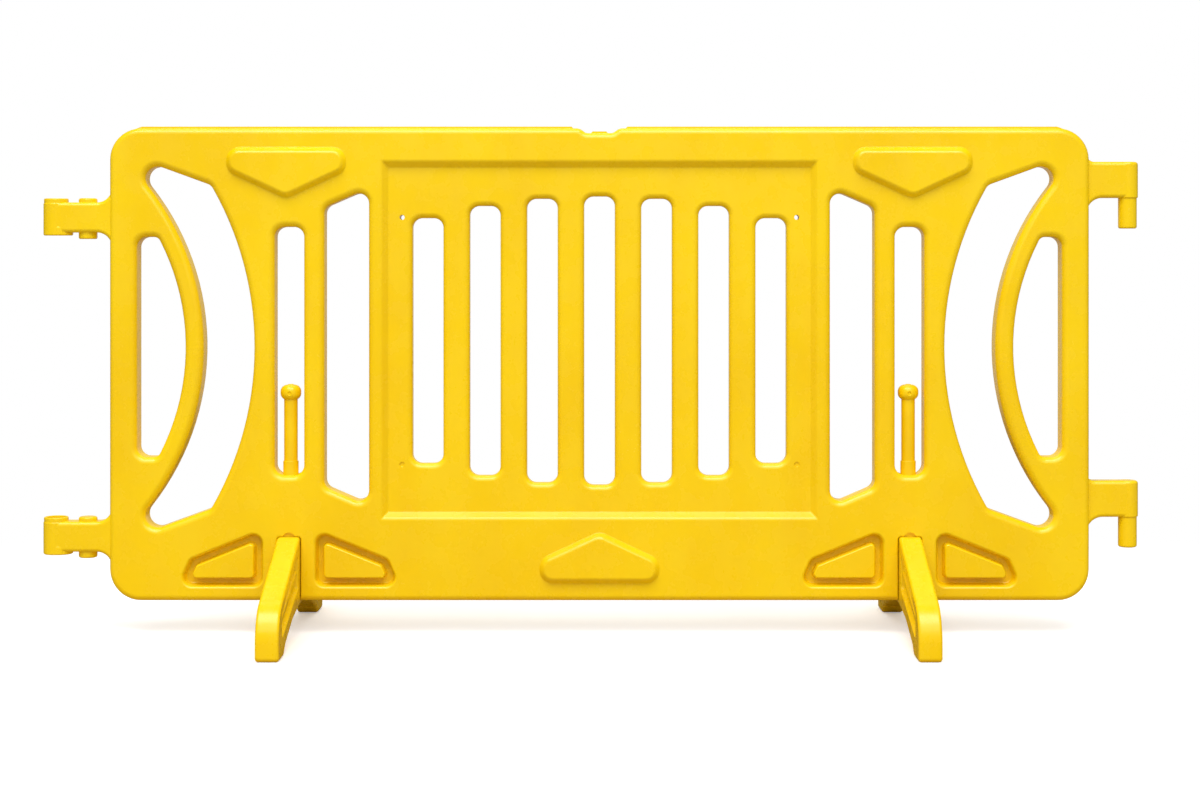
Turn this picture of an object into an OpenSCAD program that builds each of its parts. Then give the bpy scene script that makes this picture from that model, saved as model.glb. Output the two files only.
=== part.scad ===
// Linking pedestrian barrier panel: a moulded plastic panel on two drop-and-turn feet.
// Front view lies in X and Z with the front facing -Y; the ground is Z = 0.

/* [Panel] */
// Height of the moulded panel
panel_h = 939.5; // [920:0.5:980]
// Thickness of the moulded panel
panel_t = 60; // [56:1:66]
// Gap between the ground and the panel
ground_gap = 69; // [66:1:90]
// Corner radius of the panel in front view
panel_corner_r = 62; // [40:1:80]
// Rounding of the panel's outer edges
panel_edge_r = 12; // [8:1:12]
// Rounding of the rims around the through openings
rim_r = 11; // [6:1:12]

/* [Sign field] */
// Width of the recessed sign field at the panel's face
field_w = 864; // [850:1:900]
// Gap between the top of the panel and the sign field
field_top_gap = 66.5; // [60:0.5:80]
// Gap between the bottom of the panel and the sign field
field_bottom_gap = 159; // [154:1:190]
// Depth of the sign field below each face
field_depth = 12; // [6:1:14]
// Width of the sloped border round the sign field
field_slope = 11; // [4:1:14]
// Number of slots in the sign field
slot_count = 7; // [3:2:7]
// Width of each slot in the sign field
slot_w = 61; // [50:1:66]
// Gap between the outermost slots and the edge of the field's floor
slot_side_gap = 48.5; // [46:0.5:70]
// Gap between the ends of the middle slot and the edge of the field's floor
slot_end_gap = 58; // [40:1:100]
// Radius of the arc that the slots' ends follow
slot_arc_r = 1370; // [1100:10:2400]
// Corner radius of the slots
slot_corner_r = 19; // [12:1:24]
// Rounding of the rims of the slots in the sign field
slot_rim_r = 8; // [4:1:10]
// Diameter of the sign fixing holes
sign_hole_d = 10; // [6:0.5:12]
// Distance of the sign fixing holes from the edge of the field's floor
sign_hole_margin = 28; // [24:1:32]
// Height of the fixing holes above the middle of the field
sign_hole_rise = 246; // [200:1:300]
// Depth of the two drilling marks below
drill_mark_depth = 2; // [1:0.5:4]

/* [End openings] */
// Height of the middle of the end openings above the panel's middle
opening_rise = 34.25; // [30:0.25:42]
// Rail between the sign field and the side slot
field_margin = 27; // [22:1:40]
// Width of the slanted side slot
side_slot_w = 88; // [70:1:110]
// Height of the side slot on the side of the sign field
side_slot_inner_h = 632; // [560:1:650]
// Height of the side slot on the side of the post
side_slot_outer_h = 556; // [480:1:580]
// Rail between the side slot and the post slot
post_margin = 41; // [34:1:60]
// Width of the slot that the foot's post stands in
post_slot_w = 58; // [52:1:64]
// Height of the post slot
post_slot_h = 494; // [400:1:510]
// Rail between the post slot and the bow-shaped opening
bow_margin = 41; // [34:1:60]
// Width of the bow-shaped opening at its middle
bow_w = 100; // [80:1:120]
// Radius of the bow's edge towards the middle of the panel
bow_inner_r = 643; // [600:1:720]
// Radius of the bow's edge along the carrying handle
bow_outer_r = 518; // [500:1:560]
// Height of the centre of the bow's rounded tips above its middle
bow_tip_rise = 335; // [310:1:340]
// Radius of the bow's tips
bow_tip_r = 24; // [18:1:28]
// Slope of the bow's top and bottom edges in degrees
bow_slope = 20; // [12:1:26]
// Width of the curved carrying handle at its middle
handle_w = 37; // [30:1:46]
// Width of the hand opening at its middle
grip_w = 96; // [80:1:110]
// Height of the hand opening
grip_h = 438; // [380:1:450]
// Radius of the hand opening's edge along the handle
grip_r = 465; // [440:1:520]
// Width of the post at each end of the panel
end_post_w = 54; // [44:1:70]
// Corner radius of the end openings
opening_corner_r = 20; // [14:1:24]
// Corner radius where the hand opening meets the handle
grip_tip_r = 14; // [10:1:18]

/* [Moulded relief] */
// Width of the arrow-shaped stacking bosses
boss_w = 237; // [210:1:250]
// Height of the stacking bosses
boss_h = 102; // [94:1:110]
// Height of the straight ends of the stacking bosses
boss_end_h = 47; // [46:1:56]
// How far the bosses stand out of the front
boss_rise = 12; // [8:1:14]
// Corner radius of the stacking bosses
boss_corner_r = 26; // [18:1:27]
// Radius of the arrow's tip
boss_tip_r = 30; // [18:1:36]
// Gap between the top of the panel and the upper bosses
boss_top_gap = 37; // [34:0.5:46]
// Gap between the bottom of the panel and the lower boss
boss_bottom_gap = 36; // [32:1:60]
// How far the upper bosses lie outside the feet's middles
boss_shift = 5; // [0:1:10]
// Clearance round a boss in the matching hollow at the back
boss_clearance = 1.5; // [1:0.5:4]
// Gap between the foot's middle and the grooved relief beside it
relief_offset = 53; // [48:1:60]
// Width of the grooved relief
relief_w = 166.5; // [150:0.5:176]
// Height of the relief at the foot
relief_inner_h = 111.5; // [100:0.5:124]
// Height of the relief at its far end
relief_outer_h = 53.5; // [48:0.5:60]
// How far the far end of the relief leans towards the foot
relief_lean = 23; // [10:1:30]
// Gap between the bottom of the panel and the relief
relief_bottom_gap = 29; // [24:1:40]
// Width of the groove
groove_w = 17; // [12:1:20]
// Depth of the groove
groove_depth = 13; // [6:1:14]
// Corner radius of the relief
relief_corner_r = 18; // [16:1:20]
// Corner radius of the relief's island
island_corner_r = 7; // [5:1:9]
// Width of the notch in the panel's top edge
top_notch_w = 80; // [74:1:96]
// Width of the floor of the top notch
top_notch_floor_w = 54; // [50:1:60]
// Depth of the top notch
top_notch_depth = 9.5; // [6:0.5:14]
// Width of the bead that runs along the top edge
bead_w = 30; // [16:1:34]
// Height of the bead
bead_h = 3.5; // [2:0.5:5]
// Gap in the bead at the top notch
bead_gap = 104; // [100:1:130]
// Length of the bead's piece on the floor of the top notch
bead_stop_l = 34; // [20:1:40]

/* [Links] */
// Distance of the knuckles' bore from the end of the panel
knuckle_reach = 112; // [100:1:125]
// Bore of the knuckles
knuckle_bore_d = 38.4; // [37.8:0.1:39]
// Outer diameter of the knuckles
knuckle_d = 50; // [49:1:60]
// Height of the knuckles' arms
knuckle_arm_h = 60; // [50:1:66]
// Thickness of the knuckles' arms
knuckle_arm_t = 48; // [40:0.5:48.5]
// Diameter of the collar on top of a knuckle
knuckle_collar_d = 48; // [45:0.5:48.5]
// Height of the collar on top of a knuckle
knuckle_collar_h = 8; // [4:1:12]
// Length of the knuckle below its arm
knuckle_drop = 6; // [3:1:10]
// How far the knuckle's lower end reaches back under its arm
knuckle_heel = 8; // [4:1:12]
// Diameter of the stub that passes through each knuckle's arm
stub_d = 36.5; // [30:0.5:38]
// Distance of the stub from the end of the panel
stub_reach = 48.5; // [44:0.5:50]
// How far the stub stands above the arm
stub_rise = 8.5; // [4:0.5:12]
// How far the stub hangs below the arm
stub_drop = 13; // [6:0.5:16]
// Distance between the upper and the lower links
link_spacing = 636; // [620:1:650]
// Gap between the top of the panel and the upper hook
link_top_gap = 66.5; // [62:0.5:86]
// Distance of the hooks' pin from the end of the panel
hook_reach = 81.5; // [74:0.5:92]
// Diameter of the hooks' downward pin
hook_pin_d = 36.6; // [35:0.1:36.8]
// Length of the hooks' pin
hook_pin_l = 61; // [50:1:72]
// Diameter of the hooks' rounded end
hook_d = 41; // [40:0.5:46]
// Height of the hooks' arms
hook_arm_h = 72; // [56:1:76]
// Thickness of the hooks' arms
hook_arm_t = 39.5; // [34:0.5:39.5]
// Gap between a hook and the knuckle that it rests above
link_clearance = 1; // [0.5:0.5:3]

/* [Feet] */
// Length of a foot
foot_l = 610; // [560:2:680]
// Thickness of a foot
foot_t = 45; // [42:1:46]
// Height of a foot's crown above the ground
foot_h = 196; // [190:1:204]
// Length of the flat crown of a foot
crown_l = 72; // [68:1:90]
// Slope of a foot's back in degrees
foot_slope = 22; // [19:1:23]
// Radius of the bend at a foot's tip
foot_bend_r = 78; // [60:1:80]
// Length of the pad under each tip
pad_l = 65; // [50:1:80]
// Height of the step behind the pad
pad_step_h = 17; // [10:1:20]
// Length of the step behind the pad
pad_step_l = 24; // [16:1:30]
// Height of the arch under the panel
arch_h = 61; // [54:1:64]
// Rounding of a foot's edges
foot_edge_r = 6; // [3:1:7]
// Depth of the pockets in a foot's sides
pocket_depth = 9; // [5:1:12]
// Width of the rib in each pocket
rib_w = 10; // [6:1:14]
// Clearance on each side of a foot in the panel's notch
notch_clearance = 1; // [0.5:0.1:2]
// Clearance between the crown and the panel that rests on it
seat_clearance = 0.3; // [0.2:0.1:1]
// Width of the arched relief above the notch
arch_relief_w = 25; // [18:1:28]
// Height of the arched relief above the notch
arch_relief_h = 9; // [5:1:12]

/* [Posts] */
// Diameter of the post's lower part
post_root_d = 30.5; // [28:0.5:32]
// Diameter of the post's upper part
post_d = 27; // [22:0.5:27.5]
// Length of the post's bore in the panel
post_bore_l = 121.7; // [104:0.1:128]
// Height of the post's shoulder above the slot's floor
post_shoulder_rise = 27; // [15:1:45]
// Free length of the post between the slot's floor and the knob
drop_travel = 150; // [140:1:160]
// Clearance round the post in the panel
post_clearance = 0.4; // [0.2:0.1:0.8]
// Depth of the post's socket in the foot
socket_depth = 96; // [80:1:110]
// Diameter of the knob
knob_d = 41; // [38:0.5:48]
// Height of the knob
knob_h = 29; // [26:1:34]
// Diameter of the post's spigot inside the knob
spigot_d = 18; // [14:0.5:20]
// Length of the post's spigot inside the knob
spigot_l = 22; // [20:0.5:23]
// Diameter of the pin across the knob
knob_pin_d = 5; // [4:0.5:6]
// How far the knob's pin lies below the knob's surface
knob_pin_recess = 1.5; // [1:0.5:3]
// Diameter of the pin across the foot
foot_pin_d = 8; // [6:0.5:10]
// How far below the crown the foot's pin lies
foot_pin_depth = 56; // [40:1:66]
// How far the foot's pin lies below each side of the foot
foot_pin_recess = 1; // [0.5:0.5:3]
// Radial clearance of pieces that are pressed or pinned together
pin_clearance = 0.1; // [0.05:0.05:0.2]

/* [Hidden] */
$fn = 96;

yellow = [0.98, 0.83, 0.08];
deep_yellow = [0.95, 0.78, 0.06];
steel = [0.62, 0.63, 0.65];

// Fineness of the rounded outlines and rims
facet_angle = 22.5;
facet_l = 62;
rim_steps = 2;
least_edge = 0.01;
// Overrun of every cut
over = 2;

// Small roundings
pocket_draft = 2.5;
groove_draft = 4;
groove_rim = 4;
boss_draft = 6;
boss_round = 6;
notch_lip_r = 18;
notch_floor_r = 14;
arm_edge_r = 6;
knuckle_flare_r = 30;
hook_upper_flare_r = 16;
hook_lower_flare_r = 32;
flare_inset = 3;
turned_edge = 2;
hook_round = 6;
pin_round = 4;
pin_bevel = 0.4;
knob_round = 13.5;
knob_pin_drop = 2;
nub_d = 11;
nub_h = 1.2;
pad_corner_r = 9;
pad_step_r = 12;
crown_r = 30;
arch_r = 140;
arch_top_l = 60;
arch_mid_h = 48;
notch_rim_r = 3.5;
pocket_corner_r = 9;
pocket_hub_gap = 26;
pocket_top_border = 22;
pocket_lower_border = 36;
pocket_tip_gap = 44;
rib_drop = 3;

// Heights and places that follow from the sizes above
panel_z = ground_gap + panel_h / 2;
panel_top_z = ground_gap + panel_h;
half_t = panel_t / 2;
field_half_t = half_t - field_depth;
field_h = panel_h - field_top_gap - field_bottom_gap;
field_z = ground_gap + field_bottom_gap + field_h / 2;
field_floor_w = field_w - 2 * field_slope;
slot_h = field_h - 2 * (field_slope + slot_end_gap);
slot_pitch = (field_floor_w - slot_w - 2 * slot_side_gap) / (slot_count - 1);
opening_z = panel_z + opening_rise;
side_slot_x = field_w / 2 + field_margin;
post_slot_edge_x = side_slot_x + side_slot_w + post_margin;
foot_x = post_slot_edge_x + post_slot_w / 2;
bow_x = post_slot_edge_x + post_slot_w + bow_margin;
handle_x = bow_x + bow_w;
grip_x = handle_x + handle_w;
grip_edge_x = grip_x + grip_w;
panel_end_x = grip_edge_x + end_post_w;
knuckle_x = panel_end_x + knuckle_reach;
hook_x = panel_end_x + hook_reach;
// The origin is the middle of the overall length
frame_x = (knuckle_x + knuckle_d / 2 - hook_x - hook_d / 2) / 2;
hook_shoulder_z = panel_top_z - link_top_gap - hook_arm_h;
knuckle_arm_z = hook_shoulder_z - link_clearance - knuckle_collar_h - knuckle_arm_h;
notch_w = foot_t + 2 * notch_clearance;
notch_top_z = foot_h + seat_clearance;
notch_corner_r = foot_edge_r;
arch_relief_r = (arch_relief_w * arch_relief_w / 4 + arch_relief_h * arch_relief_h) / (2 * arch_relief_h);
post_bottom_z = foot_h - socket_depth;
post_slot_floor_z = notch_top_z + post_bore_l;
post_shoulder_z = post_slot_floor_z + post_shoulder_rise;
knob_z = post_slot_floor_z + drop_travel;
knob_pin_z = knob_z + knob_h / 2 - knob_pin_drop;
foot_pin_z = foot_h - foot_pin_depth;

// Outlines are lists of arcs [centre, radius, first angle, last angle], joined by straight
// lines; an arc that turns clockwise is hollow.

function unit(v) = v / norm(v);

// Rounded corner at q on the way from p to s
function corner(p, q, s, r) =
    let (
        d0 = unit(q - p),
        d1 = unit(s - q),
        turn = atan2(d0.x * d1.y - d0.y * d1.x, d0 * d1),
        way = sign(turn),
        n0 = [d0.y, -d0.x] * way,
        c = q - d0 * r * tan(abs(turn) / 2) - n0 * r,
        a = atan2(n0.y, n0.x)
    )
    [c, r, a, a + turn];

// Polygon with a radius for each corner, counter-clockwise
function rounded(points, radii) =
    let (n = len(points))
    [for (i = [0:n - 1]) corner(points[(i + n - 1) % n], points[i], points[(i + 1) % n], radii[i])];

// Polygon with every side moved inwards by d
function inset(points, d) =
    let (n = len(points))
    [for (i = [0:n - 1])
        let (
            d0 = unit(points[i] - points[(i + n - 1) % n]),
            d1 = unit(points[(i + 1) % n] - points[i]),
            n0 = [-d0.y, d0.x],
            n1 = [-d1.y, d1.x]
        )
        points[i] + d / (1 + n0 * n1) * (n0 + n1)];

function rounded_rect(w, h, r) =
    [for (q = [[1, -1, -90], [1, 1, 0], [-1, 1, 90], [-1, -1, 180]])
        [[q.x * (w / 2 - r), q.y * (h / 2 - r)], r, q.z, q.z + 90]];

function steps(arc) =
    let (sweep = abs(arc[3] - arc[2]))
    max(1, ceil(sweep / facet_angle), ceil(sweep * PI / 180 * arc[1] / facet_l));

// Points along an outline, each with its outward normal
function trace(arcs) =
    let (all = [for (arc = arcs) let (n = steps(arc)) for (i = [0:n])
        let (
            a = arc[2] + (arc[3] - arc[2]) * i / n,
            e = [cos(a), sin(a)]
        )
        [arc[0] + arc[1] * e, sign(arc[3] - arc[2]) * e]])
    [for (i = [0:len(all) - 1])
        if (norm(all[i][0] - all[(i + len(all) - 1) % len(all)][0]) > least_edge) all[i]];

// Sharp rectangle whose corners offset along their mitres
function sharp_rect(w, h) =
    [for (q = [[1, -1], [1, 1], [-1, 1], [-1, -1]]) [[q.x * w / 2, q.y * h / 2], q]];

// Triangles that fill a closed outline, zipped along its longer way from the outline's first point
function fill(points) =
    let (
        n = len(points),
        x = [for (p = points) p.x],
        y = [for (p = points) p.y],
        way = max(x) - min(x) > max(y) - min(y) ? x : y
    )
    [for (i = 0, j = n - 1, up = way[1] < way[n - 2]; i + 1 < j;
        i = up ? i + 1 : i, j = up ? j : j - 1, up = way[i + 1] < way[j - 1])
        up ? [i, i + 1, j] : [i, j - 1, j]];

// Solid through copies of an outline; the profile gives height and offset, from low to high
module loft(outline, profile) {
    n = len(outline);
    last = len(profile) - 1;
    cap = fill([for (o = outline) o[0]]);
    polyhedron(
        points = [for (s = profile, o = outline) let (p = o[0] + s[1] * o[1]) [p.x, p.y, s[0]]],
        faces = concat(
            cap,
            [for (f = cap) [last * n + f[0], last * n + f[2], last * n + f[1]]],
            [for (k = [0:last - 1], i = [0:n - 1])
                [k * n + i, (k + 1) * n + i, (k + 1) * n + (i + 1) % n, k * n + (i + 1) % n]]
        )
    );
}

// Quarter round from the face down to the side, as [drop, inset]
function quarter(r) =
    [for (i = [0:rim_steps]) [r - r * cos(90 * i / rim_steps), r - r * sin(90 * i / rim_steps)]];

// Profile of a plate with rounded edges
function edge_profile(half, r) =
    let (q = quarter(r), n = len(q) - 1)
    concat(
        [for (i = [0:n]) [q[i][0] - half, -q[i][1]]],
        [for (i = [n:-1:0]) [half - q[i][0], -q[i][1]]]
    );

// Profile of a through cut with rounded rims
function rim_profile(half, r) =
    let (q = quarter(r), n = len(q) - 1)
    concat(
        [[-half - over, r]],
        [for (i = [0:n]) [q[i][0] - half, q[i][1]]],
        [for (i = [n:-1:0]) [half - q[i][0], q[i][1]]],
        [[half + over, r]]
    );

// Stands a front view up: drawn up becomes +Z and drawn height becomes -Y
module upright() {
    rotate([90, 0, 0])
        children();
}

module both_faces() {
    children();
    mirror([0, 0, 1])
        children();
}

module both_ends() {
    children();
    mirror([1, 0, 0])
        children();
}

// The panel without openings or relief, in front view
module plate() {
    h = panel_h / 2;
    r = panel_corner_r;
    mouth = top_notch_w / 2;
    edge = top_notch_floor_w / 2;
    floor = h - top_notch_depth;
    outline = rounded(
        [
            [-panel_end_x, -h], [panel_end_x, -h], [panel_end_x, h], [mouth, h],
            [edge, floor], [-edge, floor], [-mouth, h], [-panel_end_x, h]
        ],
        [r, r, r, notch_lip_r, notch_floor_r, notch_floor_r, notch_lip_r, r]
    );
    translate([0, panel_z])
        loft(trace(outline), edge_profile(half_t, panel_edge_r));
}

// Stretch of the bead from x0 to x1 on an edge at height z, with one end sloped and the other
// running out to a point given from its end
module bead(x0, x1, z, run) {
    top = z + bead_h;
    linear_extrude(bead_w, center = true)
        polygon([
            [x0, z - over], [x1, z - over], [x1, z] + run, [x1, top], [x0 + bead_h, top], [x0, z]
        ]);
}

// Bead along the top edge, which runs out on the panel's corners, and its piece in the top notch
module top_bead() {
    stop = bead_stop_l / 2;
    run = panel_corner_r * [sin(facet_angle), cos(facet_angle) - 1];
    both_ends()
        bead(bead_gap / 2, panel_end_x - panel_corner_r, panel_top_z, run - [0, bead_h / 4]);
    bead(-stop, stop - bead_h, panel_top_z - top_notch_depth, [bead_h, 0]);
}

function slot_height(x) =
    slot_h - 2 * (slot_arc_r - sqrt(slot_arc_r * slot_arc_r - x * x));

module sign_field() {
    hole_x = field_floor_w / 2 - sign_hole_margin;
    translate([0, field_z]) {
        both_faces()
            loft(
                sharp_rect(field_w, field_h),
                [[field_half_t, -field_slope], [half_t, 0], [half_t + over, 0]]
            );
        for (i = [0:slot_count - 1]) {
            x = (i - (slot_count - 1) / 2) * slot_pitch;
            translate([x, 0])
                loft(
                    trace(rounded_rect(slot_w, slot_height(x), slot_corner_r)),
                    rim_profile(field_half_t, slot_rim_r)
                );
        }
        both_ends() {
            translate([hole_x, sign_hole_rise])
                cylinder(d = sign_hole_d, h = panel_t, center = true);
            both_faces()
                translate([hole_x, -sign_hole_rise, field_half_t - drill_mark_depth])
                    cylinder(d = sign_hole_d, h = drill_mark_depth + over);
        }
    }
}

module through(arcs) {
    loft(trace(arcs), rim_profile(half_t, rim_r));
}

// Slanted slot beside the sign field
function side_slot_arcs() =
    let (
        far = side_slot_x + side_slot_w,
        inner = side_slot_inner_h / 2,
        outer = side_slot_outer_h / 2,
        r = opening_corner_r
    )
    rounded([[side_slot_x, -inner], [far, -outer], [far, outer], [side_slot_x, inner]], [r, r, r, r]);

// Bow-shaped opening on the inner side of the carrying handle
function bow_arcs() =
    let (
        outer_c = [handle_x + bow_outer_r, 0],
        inner_c = [bow_x + bow_inner_r, 0],
        reach = bow_outer_r + bow_tip_r,
        tip_a = asin(bow_tip_rise / reach),
        tip = [outer_c.x - reach * cos(tip_a), bow_tip_rise],
        top_a = 90 + bow_slope,
        n = [cos(top_a), sin(top_a)],
        inside = bow_inner_r - opening_corner_r,
        far_a = top_a + acos((n * (tip - inner_c) + bow_tip_r - opening_corner_r) / inside),
        far = inner_c + inside * [cos(far_a), sin(far_a)]
    )
    [
        [[tip.x, -tip.y], bow_tip_r, -top_a, tip_a],
        [outer_c, bow_outer_r, 180 + tip_a, 180 - tip_a],
        [tip, bow_tip_r, -tip_a, top_a],
        [far, opening_corner_r, top_a, far_a],
        [inner_c, bow_inner_r, far_a, 360 - far_a],
        [[far.x, -far.y], opening_corner_r, 360 - far_a, 360 - top_a]
    ];

// Hand opening between the carrying handle and the end post
function grip_arcs() =
    let (
        c = [grip_x + grip_r, 0],
        r = opening_corner_r,
        half = grip_h / 2,
        rise = half - grip_tip_r,
        inside = grip_r - grip_tip_r,
        tip_a = asin(rise / inside),
        tip = [c.x - inside * cos(tip_a), rise]
    )
    [
        [[grip_edge_x - r, r - half], r, -90, 0],
        [[grip_edge_x - r, half - r], r, 0, 90],
        [tip, grip_tip_r, 90, 180 - tip_a],
        [c, grip_r, 180 - tip_a, 180 + tip_a],
        [[tip.x, -tip.y], grip_tip_r, 180 + tip_a, 270]
    ];

module end_openings() {
    translate([0, opening_z]) {
        through(side_slot_arcs());
        through(bow_arcs());
        through(grip_arcs());
    }
    translate([foot_x, post_slot_floor_z + post_slot_h / 2])
        through(rounded_rect(post_slot_w, post_slot_h, opening_corner_r));
}

// Arrow pointing down, drawn from the middle of its flat edge
function boss_arcs() =
    let (half = boss_w / 2)
    rounded(
        [[-half, 0], [-half, -boss_end_h], [0, -boss_h], [half, -boss_end_h], [half, 0]],
        [boss_corner_r, boss_corner_r, boss_tip_r, boss_corner_r, boss_corner_r]
    );

module boss() {
    top = half_t + boss_rise;
    loft(
        trace(boss_arcs()),
        [
            [half_t - over, 0],
            [half_t, 0],
            [top - boss_round, -boss_draft],
            [top, -boss_draft - boss_round]
        ]
    );
}

// Places of the three stacking bosses
module boss_places() {
    both_ends()
        translate([foot_x + boss_shift, panel_top_z - boss_top_gap])
            children();
    translate([0, ground_gap + boss_bottom_gap])
        mirror([0, 1, 0])
            children();
}

module boss_hollow() {
    floor = half_t - boss_rise - boss_clearance;
    loft(
        trace(boss_arcs()),
        [
            [floor, boss_clearance - boss_draft],
            [half_t - boss_round, boss_clearance],
            [half_t, boss_clearance + boss_round / 2],
            [half_t + over, boss_clearance + boss_round / 2]
        ]
    );
}

// Sunk groove round a flat island, drawn from the foot's middle at the groove's lower edge
module relief() {
    far = relief_offset + relief_w;
    r = relief_corner_r;
    s = island_corner_r;
    outline = [
        [relief_offset, 0], [far, 0], [far - relief_lean, relief_outer_h], [relief_offset, relief_inner_h]
    ];
    floor = half_t - groove_depth;
    difference() {
        loft(
            trace(rounded(outline, [r, r, r, r])),
            [
                [floor, -groove_draft],
                [half_t - groove_rim, 0],
                [half_t, groove_rim],
                [half_t + over, groove_rim]
            ]
        );
        loft(
            trace(rounded(inset(outline, groove_w), [s, s, s, s])),
            [[floor - over, groove_draft], [half_t + 2 * over, 0]]
        );
    }
}

// Notch in the lower edge that holds the foot, with the post's bore above it
module foot_notch() {
    r = notch_corner_r;
    below = ground_gap - r - over;
    half = notch_w / 2;
    loft(
        trace(rounded(
            [[-half, below], [half, below], [half, notch_top_z], [-half, notch_top_z]],
            [r, r, r, r]
        )),
        rim_profile(half_t, notch_rim_r)
    );
    translate([0, notch_top_z + arch_relief_h - arch_relief_r])
        cylinder(r = arch_relief_r, h = panel_t + over, center = true);
    translate([0, notch_top_z - over])
        rotate([-90, 0, 0])
            cylinder(d = post_root_d + 2 * post_clearance, h = post_slot_floor_z - notch_top_z + 2 * over);
}

module panel() {
    color(yellow)
        upright()
            difference() {
                union() {
                    plate();
                    top_bead();
                    boss_places()
                        boss();
                }
                sign_field();
                both_ends()
                    end_openings();
                mirror([0, 0, 1])
                    boss_places()
                        boss_hollow();
                both_ends()
                    translate([foot_x, ground_gap + relief_bottom_gap])
                        both_ends()
                            both_faces()
                                relief();
                both_ends()
                    translate([foot_x, 0])
                        foot_notch();
            }
}

// Arm that flares into the rounded end of the panel, drawn towards +X with its underside at height z
module arm(z, reach, h, t, lower_r, upper_r) {
    wall = panel_end_x - flare_inset;
    far = panel_end_x + 2 * reach;
    low = -2 * lower_r;
    high = h + 2 * upper_r;
    r = flare_inset;
    above = rounded([[wall, h], [far, h], [far, high], [wall, high]], [upper_r, r, r, r]);
    below = rounded([[wall, low], [far, low], [far, 0], [wall, 0]], [r, r, r, lower_r]);
    difference() {
        translate([0, z])
            difference() {
                translate([wall, -lower_r, -t / 2])
                    cube([reach + flare_inset, h + lower_r + upper_r, t]);
                for (gap = [above, below])
                    loft(trace(gap), rim_profile(t / 2, arm_edge_r));
            }
        plate();
    }
}

// Upright turned piece with bevelled edges, from its lowest point
module turned(r, h, low, high) {
    rotate_extrude()
        polygon([[0, 0], [r - low, 0], [r, low], [r, h - high], [r - high, h], [0, h]]);
}

// Knuckle whose arm has its underside at height z
module knuckle(z) {
    foot = z - knuckle_drop;
    collar_top = z + knuckle_arm_h + knuckle_collar_h;
    color(yellow)
        mirror([1, 0, 0])
            difference() {
                union() {
                    upright()
                        arm(
                            z, knuckle_reach, knuckle_arm_h, knuckle_arm_t,
                            knuckle_flare_r, knuckle_flare_r
                        );
                    translate([knuckle_x, 0, foot])
                        turned(knuckle_d / 2, knuckle_arm_h + knuckle_drop, turned_edge, turned_edge);
                    translate([knuckle_x - knuckle_heel, 0, foot])
                        turned(knuckle_d / 2, knuckle_drop + 2 * arm_edge_r, turned_edge, arm_edge_r);
                    translate([knuckle_x, 0, z])
                        turned(knuckle_collar_d / 2, collar_top - z, turned_edge, turned_edge);
                    translate([panel_end_x + stub_reach, 0, z - stub_drop])
                        turned(stub_d / 2, stub_drop + knuckle_arm_h + stub_rise, turned_edge, turned_edge);
                }
                translate([knuckle_x, 0, foot - over])
                    cylinder(d = knuckle_bore_d, h = collar_top - foot + 2 * over);
            }
}

// Hook whose arm has its underside at height z
module hook(z) {
    color(yellow) {
        upright()
            arm(z, hook_reach, hook_arm_h, hook_arm_t, hook_lower_flare_r, hook_upper_flare_r);
        translate([hook_x, 0, z])
            turned(hook_d / 2, hook_arm_h, turned_edge, hook_round);
        translate([hook_x, 0, z - hook_pin_l])
            turned(hook_pin_d / 2, hook_pin_l + hook_arm_h / 2, pin_round, pin_round);
    }
}

// Side view of a foot: along the foot, and up
function foot_arcs() =
    let (
        tip = foot_l / 2,
        crown = crown_l / 2,
        pad = tip - pad_l,
        step = pad - pad_step_l,
        arch = arch_top_l / 2,
        mid = (step + arch) / 2,
        shoulder = foot_h - (tip - crown) * tan(foot_slope)
    )
    rounded(
        [
            [-tip, 0], [-pad, 0], [-step, pad_step_h], [-mid, arch_mid_h], [-arch, arch_h],
            [arch, arch_h], [mid, arch_mid_h], [step, pad_step_h], [pad, 0], [tip, 0],
            [tip, shoulder], [crown, foot_h], [-crown, foot_h], [-tip, shoulder]
        ],
        [
            pad_corner_r, pad_step_r, pad_step_r, arch_r, arch_r,
            arch_r, arch_r, pad_step_r, pad_step_r, pad_corner_r,
            foot_bend_r, crown_r, crown_r, foot_bend_r
        ]
    );

// Pocket in one side of one half of a foot, with its rib left standing
module pocket() {
    tip = foot_l / 2;
    hub = half_t + pocket_hub_gap;
    drop = (hub - crown_l / 2) * tan(foot_slope);
    end = tip - pocket_tip_gap;
    end_drop = (end - crown_l / 2) * tan(foot_slope);
    top = foot_h - pocket_top_border;
    low = arch_h + pocket_lower_border;
    face = foot_t / 2;
    floor = face - pocket_depth;
    r = pocket_corner_r;
    rib_a = [hub - over, (top - drop + low) / 2];
    rib_b = [end, (top - end_drop + pocket_lower_border) / 2];
    rib_n = rib_w / 2 * unit([rib_a.y - rib_b.y, rib_b.x - rib_a.x]);
    difference() {
        loft(
            trace(rounded(
                [[hub, low], [end, pocket_lower_border], [end, top - end_drop], [hub, top - drop]],
                [r, r, r, r]
            )),
            [[floor, -pocket_draft], [face, 0], [face + over, 0]]
        );
        translate([0, 0, floor - over])
            linear_extrude(pocket_depth + over - rib_drop)
                polygon([rib_a - rib_n, rib_b - rib_n, rib_b + rib_n, rib_a + rib_n]);
    }
}

// Places a piece of one foot: side is -1 for left and 1 for right
module at_foot(side) {
    translate([side * foot_x, 0, 0])
        children();
}

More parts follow.
